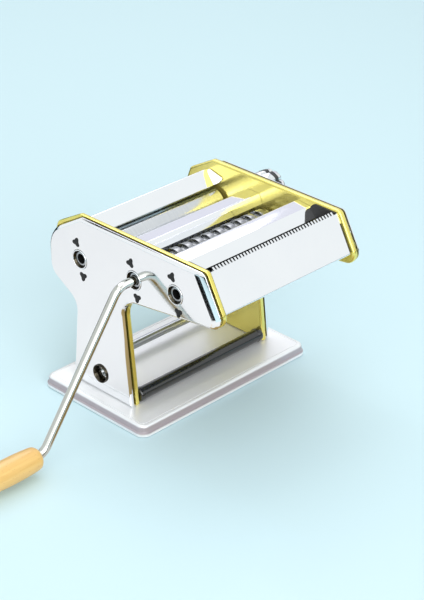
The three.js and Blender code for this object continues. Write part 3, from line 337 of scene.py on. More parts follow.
# ---------------------------------------------------------------- materials


def colour(hexadecimal):
    """Linear colour of an sRGB hex value."""
    channels = np.array([int(hexadecimal[i:i + 2], 16) for i in (1, 3, 5)]) / 255
    low = channels / 12.92
    high = ((channels + 0.055) / 1.055) ** 2.4
    return (*np.where(channels <= 0.04045, low, high).tolist(), 1.0)


def connect(tree, node, inputs):
    """Gives inputs of a node their values; a socket or a node (its first live output) is linked."""
    for name, value in inputs.items():
        if isinstance(value, bpy.types.Node):
            value = next(output for output in value.outputs if output.enabled)
        if isinstance(value, bpy.types.NodeSocket):
            tree.links.new(value, node.inputs[name])
        else:
            node.inputs[name].default_value = value


def add(tree, kind, inputs=(), **settings):
    """Adds a node with its settings, and with the values and links of its inputs."""
    node = tree.nodes.new(f"ShaderNode{kind}")
    for name, value in settings.items():
        setattr(node, name, value)
    connect(tree, node, dict(inputs))
    return node


def start(name, **uniform):
    """New material and its nodes, with the values that are the same all over the surface."""
    material = bpy.data.materials.new(name)
    material.use_nodes = True
    shader = material.node_tree.nodes["Principled BSDF"]
    for socket, value in uniform.items():
        shader.inputs[socket.replace("_", " ")].default_value = value
    return material, material.node_tree


def dress(tree, tint, gloss, relief):
    """Surface led by patterns: its tint is (pattern, two colours), its gloss (pattern, where it starts
    and ends, the roughness there), its relief (pattern, strength, depth).
    """
    span = dict(zip(("Value", "From Min", "From Max", "To Min", "To Max"), gloss))
    connect(tree, tree.nodes["Principled BSDF"], {
        "Base Color": add(tree, "Mix", dict(zip(("Factor", "A", "B"), tint)), data_type="RGBA"),
        "Roughness": add(tree, "MapRange", span),
        "Normal": add(tree, "Bump", dict(zip(("Height", "Strength", "Distance"), relief))),
    })


def chrome_plate(name, rough_low, rough_high, metallic=1.0, dark="#f2f4f7", light="#fafbfc"):
    """Nickel-chrome plate on pressed steel: a mirror that wanders a little every 22 mm where the
    sheet was stretched, with faint cloudy smears, some 36 mm wide, left by handling.
    """
    material, tree = start(name, Metallic=metallic)
    place = add(tree, "TexCoord").outputs["Object"]
    smears = add(tree, "TexNoise", {"Vector": place, "Scale": 28.0, "Detail": 6.0, "Roughness": 0.62})
    waves = add(tree, "TexNoise", {"Vector": place, "Scale": 45.0, "Detail": 1.0})
    dress(tree, (smears, colour(dark), colour(light)), (smears, 0.3, 0.75, rough_low, rough_high),
          (waves, 0.25, 0.2 * MM))
    return material


def blasted_plate():
    """Chrome over bead-blasted steel, with a grey band of painted shade round the tray's wall,
    between its shoulder and its lip.
    """
    material = chrome_plate("bead_blasted_chrome_plate", 0.3, 0.42, 0.25)
    tree = material.node_tree
    shader = tree.nodes["Principled BSDF"]
    plate = shader.inputs["Base Color"].links[0].from_socket
    height = add(tree, "SeparateXYZ", {"Vector": add(tree, "TexCoord").outputs["Object"]}).outputs["Z"]
    # painted shade: the wall between the shoulder and the lip is greyed, as if it lay in shade
    below = add(tree, "MapRange", {"Value": height, "From Min": TRAY_HIGH[2] - 2.6 * MM,
                                   "From Max": TRAY_HIGH[2] - 1.2 * MM, "To Min": 1, "To Max": 0})
    above = add(tree, "MapRange", {"Value": height, "From Min": (LIP_HEIGHT - 1.2) * MM,
                                   "From Max": (LIP_HEIGHT - 0.2) * MM})
    painted_shade_band = add(tree, "Math", {0: below, 1: above}, operation="MULTIPLY")
    tint = add(tree, "Mix", {"Factor": painted_shade_band, "A": plate, "B": colour("#b5acb2")}, data_type="RGBA")
    connect(tree, shader, {"Base Color": tint})
    return material


def gold_lacquer():
    """Yellow lacquer over pressed steel: a warm opaque yellow under a glossy clear skin with an
    orange peel of 1 mm, a little darker and redder in patches of 45 mm where the lacquer ran thin.
    """
    material, tree = start("gold_lacquered_steel", Metallic=0.75, Coat_Weight=0.3, Coat_Roughness=0.05)
    place = add(tree, "TexCoord").outputs["Object"]
    cloud = add(tree, "TexNoise", {"Vector": place, "Scale": 22.0, "Detail": 5.0, "Roughness": 0.6})
    skin = add(tree, "TexNoise", {"Vector": place, "Scale": 900.0, "Detail": 2.0})
    dress(tree, (cloud, colour("#e8d45a"), colour("#f5ea8c")), (cloud, 0, 1, 0.14, 0.26),
          (skin, 0.15, 0.1 * MM))
    return material


def turned_metal(name, dark, light, rough_low, rough_high, ring_width):
    """Metal turned on a lathe: rings across X of about ring_width millimetres, each with its own
    polish, and a fine groove between them.
    """
    material, tree = start(name, Metallic=1.0)
    place = add(tree, "TexCoord").outputs["Object"]
    lines = add(tree, "Mapping", {"Vector": place, "Scale": (1.0, 0.02, 0.02)})
    rings = add(tree, "TexNoise", {"Vector": lines, "Scale": 1 / (ring_width * MM), "Detail": 3.0,
                                   "Roughness": 0.7})
    dress(tree, (rings, colour(dark), colour(light)), (rings, 0.3, 0.7, rough_low, rough_high),
          (rings, 0.3, 0.1 * MM))
    return material


def grained_metal(name, dark, light, rough_low, rough_high, grain):
    """Plated or drawn metal with a mottle of the given size in millimetres, and a polish that
    changes every 17 mm.
    """
    material, tree = start(name, Metallic=1.0)
    place = add(tree, "TexCoord").outputs["Object"]
    mottle = add(tree, "TexVoronoi", {"Vector": place, "Scale": 1 / (grain * MM)})
    cloud = add(tree, "TexNoise", {"Vector": place, "Scale": 60.0, "Detail": 5.0})
    dress(tree, (mottle, colour(dark), colour(light)), (cloud, 0, 1, rough_low, rough_high),
          (mottle, 0.12, 0.1 * MM))
    return material


def coated(name, dark, light, rough_low, rough_high, size, depth, coat):
    """Enamel, rubber or oxide: two close colours and a gloss in patches of 22 mm, and a skin of small
    dimples (size and depth in millimetres).
    """
    material, tree = start(name, Metallic=0.0, Coat_Weight=coat, Coat_Roughness=0.08)
    place = add(tree, "TexCoord").outputs["Object"]
    patches = add(tree, "TexNoise", {"Vector": place, "Scale": 45.0, "Detail": 6.0})
    dimples = add(tree, "TexNoise", {"Vector": place, "Scale": 1 / (size * MM), "Detail": 2.0})
    dress(tree, (patches, colour(dark), colour(light)), (patches, 0, 1, rough_low, rough_high),
          (dimples, 0.5, depth * MM))
    return material


def lacquered_beech():
    """Turned beech under clear varnish: golden tan, straight grain along the grip, and the short
    dark flecks that beech shows on its quarter. The grain is 3 mm wide, twice as coarse as it is, so
    that it shows.
    """
    material, tree = start("lacquered_beech", Coat_Weight=0.5, Coat_Roughness=0.12)
    place = add(tree, "TexCoord").outputs["Object"]
    along = add(tree, "Mapping", {"Vector": place, "Scale": (0.08, 1.0, 1.0)})
    grain = add(tree, "TexNoise", {"Vector": along, "Scale": 320.0, "Detail": 4.0, "Distortion": 0.4})
    stretched = add(tree, "Mapping", {"Vector": place, "Scale": (0.35, 1.0, 1.0)})
    flecks = add(tree, "TexVoronoi", {"Vector": stretched, "Scale": 620.0})
    spots = add(tree, "MapRange", {"Value": flecks, "From Min": 0.0, "From Max": 0.22, "To Min": 0.55,
                                   "To Max": 0.0})
    base = add(tree, "Mix", {"Factor": grain, "A": colour("#d9a657"), "B": colour("#efca7f")},
               data_type="RGBA")
    dress(tree, (spots, base, colour("#a46a2c")), (grain, 0, 1, 0.32, 0.5), (grain, 0.2, 0.1 * MM))
    return material


FINISH = {
    # Bright chrome, buffed before plating: nearly a mirror.
    "chrome": chrome_plate("bright_chrome_plate", 0.045, 0.1),
    # Chrome over bead-blasted steel: it scatters light almost as paper does, so it stays pale; a grey band of
    # painted shade runs round its wall.
    "frosted": blasted_plate(),
    # Nickel plate on drawn bar: softer and a little darker and warmer than the chrome.
    "nickel": chrome_plate("nickel_plated_bar", 0.08, 0.16, 1.0, "#b9bab4", "#cfd0ca"),
    "gold": gold_lacquer(),
    # Aluminium, turned and polished: silvery, with rings left by the tool drawn twice as coarse.
    "roller": turned_metal("polished_turned_aluminium", "#c9ccd0", "#e4e6e8", 0.12, 0.28, 0.8),
    # Steel, milled and nickel-plated, drawn a darker grey than it is to paint the shade in the bays round the
    # cutters.
    "cutter": turned_metal("milled_steel_darkened_for_shade", "#85878a", "#b4b6b8", 0.16, 0.3, 0.5),
    # Mild steel, zinc-plated: a dull grey spangle.
    "steel": grained_metal("zinc_plated_steel", "#a9adb2", "#c4c7ca", 0.22, 0.38, 0.9),
    # Dark steel that paints the shade inside the collars' bores and the clamp's eyelet: a dark mirror with
    # brown-grey lights.
    "hole_shade_steel": grained_metal("painted_hole_shade_steel", "#2c2a24", "#4f4a3e", 0.1, 0.2, 0.9),
    # Brass, drawn and pressed: a soft yellow metal.
    "brass": grained_metal("drawn_brass", "#a9823a", "#c9a456", 0.25, 0.4, 0.7),
    # Enamel, dipped and baked: deep black with a wet gloss; the foot bar's own colour, and painted shade on
    # the knob's band.
    "black": coated("baked_black_enamel_and_painted_shade", "#0b0c0d", "#17181a", 0.12, 0.24, 1.2, 0.02, 0.8),
    # Nitrile rubber, moulded: a matt charcoal with a sandy skin.
    "rubber": coated("moulded_nitrile_rubber", "#1b1b1c", "#2a2a2b", 0.7, 0.9, 0.35, 0.05, 0.0),
    "wood": lacquered_beech(),
    # ABS, moulded and chrome-plated: brighter and a little softer than the pressed steel.
    "knob": grained_metal("chrome_plated_abs", "#e4e7ea", "#f4f5f6", 0.06, 0.14, 1.6),
    # Steel, blackened in an oxide bath: almost black and nearly matt; the rivet heads' own colour, and
    # painted shade in the sleeves' seats, the knob's hollow and the plates at the slot's ends.
    "oxide_and_shade": coated("black_oxide_and_painted_shade", "#040405", "#0b0b0c", 0.5, 0.65, 0.5, 0.02, 0.0),
}

# ---------------------------------------------------------------- finishing a piece

SHARP = radians(32)               # two faces that meet at more than this keep a crisp edge


def piece(name, shell, finish, body="root", nodes=()):
    """Makes the object from its shell, closes its poles, faces it outwards and hangs it on its body."""
    mesh = bpy.data.meshes.new(name)
    mesh.from_pydata((shell.points() * MM + MIDDLE).tolist(), [], shell.faces)
    work = bmesh.new()
    work.from_mesh(mesh)
    bmesh.ops.remove_doubles(work, verts=work.verts, dist=1e-6)
    bmesh.ops.recalc_face_normals(work, faces=work.faces)
    work.to_mesh(mesh)
    work.free()
    mesh.shade_smooth()
    mesh.set_sharp_from_angle(angle=SHARP)
    mesh.materials.append(FINISH[finish])
    made = bpy.data.objects.new(name, mesh)
    bpy.context.scene.collection.objects.link(made)
    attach(made, body)
    if nodes:
        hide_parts(*nodes)


# ---------------------------------------------------------------- tray and feet

TRAY_CORNER = 9.0


def make_tray():
    """Pressed tray. From its flat top outwards: a shallow crease, a rounded shoulder, the wall, and a
    small step down to the lip; the inside is the same line one thickness further in.
    """
    low, high = box("base_tray")
    corners = [(x, y, TRAY_CORNER) for x, y in (
        (low[0], low[1]), (high[0], low[1]), (high[0], high[1]), (low[0], high[1]))]
    top = high[2]
    outside = [
        (16.0, top), (LIP + 4.7, top), (LIP + 4.5, top - 0.6), (LIP + 3.9, top - 0.6), (LIP + 3.7, top),
        (LIP + 2.6 + SUPPORT, top), (LIP + 2.6, top), (LIP + 1.7, top - 0.25),
        (LIP + 0.8, top - 0.8), (LIP + 0.25, top - 1.7), (LIP, top - 2.6), (LIP, LIP_HEIGHT + 0.9),
        (LIP - 0.3, LIP_HEIGHT + 0.3), (LIP - 0.9, LIP_HEIGHT), (0.7, LIP_HEIGHT),
        (0.2, LIP_HEIGHT - 0.2), (0, LIP_HEIGHT - 0.7), (0, low[2] + EDGE),
    ]
    inside = [(SHEET, low[2] + EDGE)] + [(inset + SHEET, height - SHEET) for inset, height in outside[-3::-1]]
    profile = plain(outside + [(EDGE, low[2]), (SHEET - EDGE, low[2])] + inside)
    piece("tray", pan(Shell(), corners, profile, to_table), "frosted", nodes=["base_tray"])


def make_feet():
    """Rubber feet: a low round pad with a soft edge under a narrower neck."""
    for corner in ("front_left", "front_right", "rear_left", "rear_right"):
        node = f"foot_{corner}"
        low, high = box(node)
        x, y, _ = (low + high) / 2
        radius = (high - low)[0] / 2
        profile = [
            (0, 0, 0), (radius - 2, 0, 0.3), (radius - 1.2, 0.4, 0.3), (radius, 0.4, 0.6), (radius, 2.2, 0.4),
            (radius - 0.7, 2.8, 0.3), (radius - 0.8, high[2], 0.5), (0, high[2], 0),
        ]
        line = rounded(profile, closed=False, step=20)[0]
        upright = around_x(line[:, 1:], line[:, :1], (x, y), full_turn(40))
        shell = Shell()
        shell.grid(np.roll(upright, -1, axis=-1), around=True)
        piece(f"rubber_foot_{corner}", shell, "rubber", nodes=[node])


# ---------------------------------------------------------------- side frames and covers

RIM = [                           # section of the cover's rim: inset, fall from the face, rounding
    (3.35, 0.0, 0.0),
    (2.4, 0.0, 0.5),
    (1.1, 0.85, 0.5),
    (0.0, 2.6, 0.4),
    (0.0, 3.4, 0.0),
]
NOSE_EDGE = 5                     # edge of SIDE along which the rim is wider
NOSE_WIDEN = 3.6
LEG_EDGE = 7                      # along the leg's front it is tighter
LEG_WIDEN = 0.45
SLOPE_EDGE = 4                    # edge of FRAME_SIDE where the flange is rolled over into a wide band
SLOPE_WIDEN = 3.0
SETBACK = 1.0                     # of the right cover's rim behind its frame
SEAM = 1.1                        # how far cover and flange each stay back from their meeting plane
FLANGE_BEND = 2.0                 # outer radius between the frame's plate and its flange


def rim_profile(thickness):
    """Flat face, two slanting bands and a straight wall, joined by arcs; the inside of the sheet
    is the same line moved in by the thickness.
    """
    outside = rounded(RIM, 0.0, closed=False, step=12)[0]
    line = rounded(RIM, -thickness, closed=False, step=12)[0]
    return [(inset - wide, FACE - fall, wide) for (inset, fall), (wide, _) in zip(line, outside)]


def make_cover(side, hand):
    """Side cover: the pressed rim round a flat face, with holes for what comes through it."""
    edge = plain([(EDGE, SEAT + SEAM), (PLATE - EDGE, SEAT + SEAM)])
    profile = rim_profile(0) + edge + rim_profile(PLATE)[::-1]
    if hand > 0:
        profile = [(inset + SETBACK, height, spread) for inset, height, spread in profile]
        holes = [(*KNOB_AXIS, SHAFT_HOLE)]
    else:
        holes = [(*axis, COLLAR_HOLE) for axis in DRIVEN.values()]
        holes += [(*post, POST_HOLE) for axis in DRIVEN.values() for post in rivet_places(axis)]
        holes.append((*CLAMP_AXIS, CLAMP_HOLE))
    widen = np.ones(len(SIDE))
    widen[NOSE_EDGE] = NOSE_WIDEN
    widen[LEG_EDGE] = LEG_WIDEN
    shell = pan(Shell(), SIDE, profile, to_sides(hand), holes, widen)
    piece(f"chrome_cover_{side}", shell, "chrome", nodes=[f"{side}_cover"])


def make_frame(side, hand):
    """Frame plate whose flange bends outwards through a quarter circle on both of its faces."""
    plate, edge = INNER + PLATE, FLANGE - SEAM
    angle = np.linspace(0, pi / 2, 7)
    outside = [(FLANGE_BEND + SUPPORT, INNER)]
    outside += list(zip(FLANGE_BEND * (1 - np.sin(angle)), INNER + FLANGE_BEND * (1 - np.cos(angle))))
    outside += [(0, edge - 0.4), (0.15, edge - 0.12), (0.45, edge)]
    inside = [(PLATE - 0.3, edge), (PLATE, edge - 0.3)]
    tight = FLANGE_BEND - PLATE + 0.3
    inside += list(zip(PLATE + tight * (1 - np.sin(angle)), plate + tight * (1 - np.cos(angle))))[::-1]
    inside += [(PLATE + tight + SUPPORT, plate)]
    profile = plain(outside) + [(0, height, inset) for inset, height in inside]
    holes = [(*axis, COLLAR_SEAT if hand < 0 else BUSH_HOLE) for axis in DRIVEN.values()]
    holes += [(*MATES[pair], BUSH_HOLE) for pair in ("wide", "fine")]
    holes += [(*KNOB_AXIS, SHAFT_HOLE), (*MATES["sheet"], BLOCK_HOLE)]
    holes += [(*axis_of(f"{rod}_tie_rod"), ROD_HOLE) for rod in ("rear_upper", "rear_lower")]
    if hand < 0:
        holes.append((*CLAMP_AXIS, CLAMP_HOLE))
    widen = np.ones(len(FRAME_SIDE))
    widen[SLOPE_EDGE] = SLOPE_WIDEN
    shell = pan(Shell(), FRAME_SIDE, profile, to_sides(hand), holes, widen)
    piece(f"gold_frame_{side}", shell, "gold", nodes=[f"{side}_frame"])


# ---------------------------------------------------------------- crank sockets

RIVET_SPAN = 31.4                 # between the two posts of a collar
RIVET_TILT = radians(14.5)        # from upright, top to the rear
RIVET_HEAD = 4.7
RIVET_POST = 2
RIVET_TURNS = (-10, 33)           # how the upper and the lower head happen to lie, in degrees
LOBE = 0.22                       # depth of a head's three lobes, as a share of the head
EAR = 3.5                         # half width of a collar's ear, and its length past the post
EAR_START = 8                     # from the axis
MOUTH_FACE = FACE + 0.5           # the collar's mouth is almost flush with the cover
COLLAR_RADIUS = 8.8
MOUTH = 8.0                       # radius of the collar's flared mouth
RECESS = 1.8                      # from the collar's mouth to the sleeve
SLEEVE = 6.4                      # radius of the turning sleeve
SLEEVE_GAP = 0.25                 # round it
BORE = 4.5
FLAT = 2.8                        # from the axis to the flat of the seat
SEAT_SETBACK = 2.4                # from the mouth to the seat


def rivet_places(axis):
    """Middles of the two posts of a collar."""
    reach_out = np.array([sin(RIVET_TILT), cos(RIVET_TILT)]) * RIVET_SPAN / 2
    return axis + reach_out, axis - reach_out


def lobed(turn):
    """Head with three lobes: its radius follows a cosine of three times the angle from the turn."""
    return lambda angle: 1 - LOBE + LOBE * np.cos(3 * (angle - radians(turn)))


def make_socket(place, axis):
    """Collar round a crank socket with a flared bore, two ears inside and two lobed rivets; the bore's lining
    is dark steel that paints the shade inside the socket.
    """
    bore = SLEEVE + SLEEVE_GAP
    barrel = [
        (-INNER, bore + 0.4, 0.1), (-MOUTH_FACE, MOUTH, 0.1), (-MOUTH_FACE, COLLAR_RADIUS, 0.4),
        (-INNER, COLLAR_RADIUS, 0.2),
    ]
    shell = turned(Shell(), barrel, axis, closed=True)
    back = FACE - PLATE - 0.3
    posts = rivet_places(axis)
    across = np.array([cos(RIVET_TILT), -sin(RIVET_TILT)]) * EAR
    for post in posts:
        away = (post - axis) / (RIVET_SPAN / 2)
        near, far = axis + EAR_START * away, post + EAR * away
        ear = [(*(near + across), 0.3), (*(far + across), 3.4), (*(far - across), 3.4),
               (*(near - across), 0.3)]
        slab(shell, ear, -back, -back + PLATE)
    stem = [(-back, 0, 0), (-back, RIVET_POST, 0), (-FACE - 0.3, RIVET_POST, 0), (-FACE - 0.3, 0, 0)]
    for post in posts:
        turned(shell, stem, post, 24)
    piece(f"{place}_collar", shell, "chrome", nodes=[f"{place}_socket_bush"])
    # painted shade: the lining of the collar's bore is dark steel, for the shade inside the socket
    shade_lining = [
        (-INNER, bore, 0.05), (-MOUTH_FACE + RECESS + 0.6, bore, 0.3),
        (-MOUTH_FACE + 0.1, MOUTH - 0.15, 0.05), (-MOUTH_FACE + 0.1, MOUTH - 0.02, 0.02),
        (-INNER, bore + 0.35, 0.05),
    ]
    piece(f"{place}_collar_shade_lining", turned(Shell(), shade_lining, axis, closed=True), "hole_shade_steel")
    head = [
        (-FACE - 0.1, 0, 0), (-FACE - 0.1, RIVET_HEAD, 0.1), (-FACE - 0.35, RIVET_HEAD, 0.2),
        (-FACE - 0.6, RIVET_HEAD - 0.8, 0.4), (-FACE - 0.6, 0, 0),
    ]
    shell = Shell()
    for post, turn in zip(posts, RIVET_TURNS):
        turned(shell, head, post, 48, stretch=lobed(turn))
    piece(f"{place}_rivet_heads", shell, "oxide_and_shade")


def make_sleeve(place, axis, body):
    """Turning sleeve: a bore that narrows to the crank's seat behind its mouth. The seat is D-shaped:
    its radius is cut off where the cosine of the angle would take it past the flat. The seat's hollow
    is near-black oxide, which paints the shade deep in the bore.
    """
    node = f"{place}_crank_socket"
    mouth, back = -MOUTH_FACE + RECESS, box(node)[1][0]
    angle = full_turn(64)
    towards_front = -np.cos(angle)
    seat = np.where(towards_front > FLAT / BORE, FLAT / np.maximum(towards_front, 0.1), BORE)
    steps = [
        (back, 0), (back, SLEEVE - 0.3), (back - 0.3, SLEEVE), (mouth + 0.5, SLEEVE),
        (mouth + 0.15, SLEEVE - 0.15), (mouth, SLEEVE - 0.5), (mouth, BORE + 0.45), (mouth + 0.2, BORE + 0.2),
        (back - 0.6, BORE + 0.2), (back - 0.6, 0),
    ]
    # painted shade: the seat's hollow is near-black oxide, for the shade deep in the sleeve
    shade_hollow = [
        (back - 0.7, 0), (back - 0.7, BORE + 0.15), (mouth + 0.3, BORE + 0.15), (mouth + 0.35, BORE),
        (mouth + SEAT_SETBACK, BORE), (mouth + SEAT_SETBACK, seat), (back - 1, seat), (back - 1, 0),
    ]
    for name, finish, profile, nodes in (
            (f"{place}_sleeve", "steel", steps, [node]), (f"{place}_sleeve_seat", "oxide_and_shade", shade_hollow, [])):
        x = np.array([x for x, _ in profile])[:, None]
        radius = np.array([np.broadcast_to(radius, angle.shape) for _, radius in profile])
        shell = Shell()
        shell.grid(around_x(x, radius, axis, angle), around=True)
        piece(name, shell, finish, body, nodes=nodes)


EYELET_BORE = 6.1
EYELET_BARREL = 7.2
EYELET_LIP = 8.8
EYELET_SPLIT = -FACE + 5.5        # in front of it the eyelet is dark steel that paints the hole's shade; behind it the tube is bright chrome


def make_eyelet():
    """Eyelet for a table clamp: a rolled lip on the face that runs down into a bore, both dark steel that
    paints the shade in the hole.
    """
    rim = box("clamp_eyelet")[0][0]
    front = [
        (EYELET_SPLIT, EYELET_BORE, 0.1), (-FACE + 3, EYELET_BORE, 3.0), (rim, 8.0, 0.3),
        (rim, EYELET_LIP, 0.4), (-FACE - 0.15, EYELET_LIP, 0.3), (-FACE - 0.15, EYELET_BARREL, 0.1),
        (EYELET_SPLIT, EYELET_BARREL, 0.1),
    ]
    shell = turned(Shell(), front, CLAMP_AXIS, closed=True)
    piece("clamp_hole_eyelet", shell, "hole_shade_steel", nodes=["clamp_eyelet"])
    tube = [(-INNER, EYELET_BORE, 0.1), (EYELET_SPLIT, EYELET_BORE, 0.1), (EYELET_SPLIT, EYELET_BARREL, 0.1),
            (-INNER, EYELET_BARREL, 0.1)]
    piece("clamp_hole_tube", turned(Shell(), tube, CLAMP_AXIS, closed=True), "chrome")


BUSH_BORE = 4.75
BUSH_SHANK = 7.0
BUSH_FLANGE = 9.0


def make_bushes():
    """Flanged bushes, each with its flange on the outside of its frame."""
    for node in [f"{place}_drive_bush" for place in DRIVEN] + [
            f"{pair}_mate_bush_{side}" for pair in ("wide", "fine") for side in ("left", "right")]:
        inner, outer = sorted((corner[0] for corner in box(node)), key=abs)
        flange = outer - np.sign(outer) * 0.8
        profile = [
            (inner, BUSH_BORE, 0.3), (outer, BUSH_BORE, 0.2), (outer, BUSH_FLANGE, 0.2),
            (flange, BUSH_FLANGE, 0.1), (flange, BUSH_SHANK, 0.1), (inner, BUSH_SHANK, 0.3),
        ]
        piece(f"{node}_ring", turned(Shell(), profile, axis_of(node), closed=True), "brass", nodes=[node])


# ---------------------------------------------------------------- rollers and cutters

JOURNAL = 4.5
RIDGE_GAP = 0.2                   # between a ridge and the walls of its groove
RIDGE_CREST = 0.12                # broken corner of a ridge


def roller_ends(node, radius, driven):
    """Corners of a roller's left and right end, from the axis outwards and back; a driven roller's
    left end sits in its sleeve.
    """
    low, high = box(node)
    left = [(-ROLLER_END, 0, 0)]
    if not driven:
        left = [(low[0], 0, 0), (low[0], JOURNAL, 0.4), (-ROLLER_END, JOURNAL, 0.2)]
    left.append((-ROLLER_END, radius, 0.5))
    right = [(ROLLER_END, radius, 0.5), (ROLLER_END, JOURNAL, 0.2), (high[0], JOURNAL, 0.4), (high[0], 0, 0)]
    return left, right


def make_roller(name, node, body, driven):
    """Smooth roller."""
    left, right = roller_ends(node, reach(node), driven)
    shell = turned(Shell(), left + right, axis_of(node), sides=128, step=22)
    piece(name, shell, "roller", body, nodes=[node])


def make_cutter(name, node, body, driven, pitch, root):
    """Roller with square ridges on whole pitches if driven, and half a pitch along if not."""
    radius = reach(node)
    left, right = roller_ends(node, root, driven)
    half = pitch / 4 - RIDGE_GAP / 2
    places = np.arange(0 if driven else pitch / 2, ROLLER_END - half, pitch)
    places = np.unique(np.concatenate([-places, places]))
    offsets = np.array([-half, -half, -half + RIDGE_CREST, half - RIDGE_CREST, half, half])
    radii = np.array([root, radius - RIDGE_CREST, radius, radius, radius - RIDGE_CREST, root])
    ridges = [(x + dx, r, 0) for x in places for dx, r in zip(offsets, radii)]
    shell = turned(Shell(), left + ridges + right, axis_of(node), sides=72, step=40)
    piece(name, shell, "cutter", body, nodes=[node])


# ---------------------------------------------------------------- covers between the sides

FOLD = 1.4                        # outer radius of a fold in the thin covers
CREST = np.array([38.7, HEAD_TOP - 10.0])  # of the rear cover, between its chute and its slope
CHUTE = (15, 9.7)                 # from the crest forwards and down to the chute's lip
SLOPE_FOOT = (62.8, HEAD_TOP - 29.2)
BACK_TOP = HEAD_TOP - 38.3
BACK_FOOT = HEAD_TOP - 60.7
CHANNEL_REAR = 16.2               # the channel's rear wall ends so far over the wide cutter's axis
CHANNEL_FRONT = 2.6               # its top ends so far behind the fine cutter's axis
CHANNEL_FALL = 1.3                # of its top
CHANNEL_SLOPE = 8.4               # from there to the foot of its front slope
CHANNEL_DEPTH = 9.7
PANEL_SINK = 1.6                  # front panel behind the side covers' edge
PANEL_START = 12                  # from the nose's lower corner
PANEL_END = 1.2                   # from the nose's upper corner
PANEL_SHORT = 2.4                 # dark gap between the panel and the right frame
SHADE_PLATE = 1.4                       # thickness of the black plates that paint the shade at the slot's ends
SHADE_PLATE_GAP = 0.1                   # from such a plate to the end of the covers
SHADE_PLATE_SINK = 3.2                  # of a plate's front edge behind the nose's edge
SHADE_PLATE_LEG = 6                     # width of a plate's leg

NOSE_TOP, NOSE_LOW = (np.array(SIDE[i][:2]) for i in (5, 6))
NOSE_LENGTH = np.linalg.norm(NOSE_TOP - NOSE_LOW)
UP_NOSE = (NOSE_TOP - NOSE_LOW) / NOSE_LENGTH
INTO_NOSE = np.array([UP_NOSE[1], -UP_NOSE[0]])


def make_rear_cover():
    """Chute over the smooth rollers, slope, back wall and turned-in edge, with a cheek at each end."""
    lip = CREST - CHUTE
    back = box("rear_cover")[1][1]
    shell = folded([
        (back - 8, BACK_FOOT, 0), (back, BACK_FOOT + 4, 2), (back, BACK_TOP, 5), (*SLOPE_FOOT, 5),
        (*CREST, FOLD), (*lip, 0),
    ])
    cheek = [(lip[0], lip[1] - 0.5, 0.4), (CREST[0] - 1, CREST[1] - 0.6, 0.4),
             (CREST[0] - 4, CREST[1] + 0.5, 0.6), (lip[0] - 6, lip[1] + 6, 1.5)]
    for x0 in (-PANEL, PANEL - SHEET):
        slab(shell, cheek, x0, x0 + SHEET)
    piece("rear_chute_cover", shell, "chrome", nodes=["rear_cover"])


def make_middle_cover():
    """Saddle over the regulator's shaft."""
    low, high = box("middle_cover")
    shell = folded([
        (high[1], KNOB_AXIS[1], 0), (high[1] - 2, high[2], FOLD), (high[1] - 16, high[2], FOLD),
        (low[1], low[2], 0),
    ])
    piece("saddle_cover", shell, "chrome", nodes=["middle_cover"])


def make_centre_cover():
    """Channel between the wide and the fine cutters: its top falls a little to the front, and a
    slope guards the fine cutters.
    """
    _, rear, top = box("centre_cover")[1]
    front = DRIVEN["front"][0] + CHANNEL_FRONT
    shell = folded([
        (rear, MATES["wide"][1] + CHANNEL_REAR, 0), (rear, top, FOLD), (front, top - CHANNEL_FALL, FOLD),
        (front - CHANNEL_SLOPE, top - CHANNEL_DEPTH, 0),
    ])
    piece("channel_cover", shell, "chrome", nodes=["centre_cover"])


def make_front_panel():
    """Flat panel just inside the nose's front edge, with its lower edge turned in."""
    top = NOSE_TOP - PANEL_END * UP_NOSE + PANEL_SINK * INTO_NOSE
    low = NOSE_LOW + PANEL_START * UP_NOSE + PANEL_SINK * INTO_NOSE
    shell = folded([(*top, 0), (*low, FOLD), (low[0] + 9, low[1] - 1.6, 0)], PANEL_SHORT)
    piece("nose_panel", shell, "chrome", nodes=["front_panel"])


def make_slot_shade_plates():
    """Black plates at the ends of the slot over the fine cutters, which paint the shade there, each with a
    leg behind the panel.
    """
    rear = DRIVEN["front"][0] + 1.2
    leg = [NOSE_LOW + share * UP_NOSE + depth * INTO_NOSE for share, depth in (
        (14, SHADE_PLATE_SINK), (14, SHADE_PLATE_SINK + SHADE_PLATE_LEG), (38, SHADE_PLATE_SINK + SHADE_PLATE_LEG))]
    front = NOSE_LOW + (NOSE_LENGTH - 0.5) * UP_NOSE + SHADE_PLATE_SINK * INTO_NOSE
    outline = [(*leg[0], 1), (*leg[1], 1), (*leg[2], 2), (rear, HEAD_TOP - 15, 1), (rear, HEAD_TOP - 1.5, 7),
               (*front, 1)]
    for side, x0 in (("left", SHADE_PLATE_GAP - PANEL), ("right", PANEL - SHADE_PLATE_GAP - SHADE_PLATE)):
        piece(f"fine_slot_shade_plate_{side}", slab(Shell(), outline, x0, x0 + SHADE_PLATE), "oxide_and_shade")


# ---------------------------------------------------------------- rods, shaft and foot bar

ROD_END = 2.5
SPINDLE = 3.5


def make_rods():
    """Tie rods with thin ends through the frames, and the regulator's plain shaft."""
    for name in ("rear_upper", "rear_lower"):
        node = f"{name}_tie_rod"
        low, high = box(node)
        radius = reach(node)
        profile = [
            (low[0], 0, 0), (low[0], ROD_END, 0.3), (-PANEL, ROD_END, 0.1), (-PANEL, radius, 0.5),
            (PANEL, radius, 0.5), (PANEL, ROD_END, 0.1), (high[0], ROD_END, 0.3), (high[0], 0, 0),
        ]
        piece(f"{name}_spacer_rod", turned(Shell(), profile, axis_of(node), 48), "steel", nodes=[node])
    low, high = box("regulator_shaft")
    profile = [(low[0], 0, 0), (low[0], SPINDLE, 0.4), (high[0], SPINDLE, 0.4), (high[0], 0, 0)]
    shell = turned(Shell(), profile, KNOB_AXIS, 48)
    piece("regulator_spindle", shell, "steel", "regulator", nodes=["regulator_shaft"])


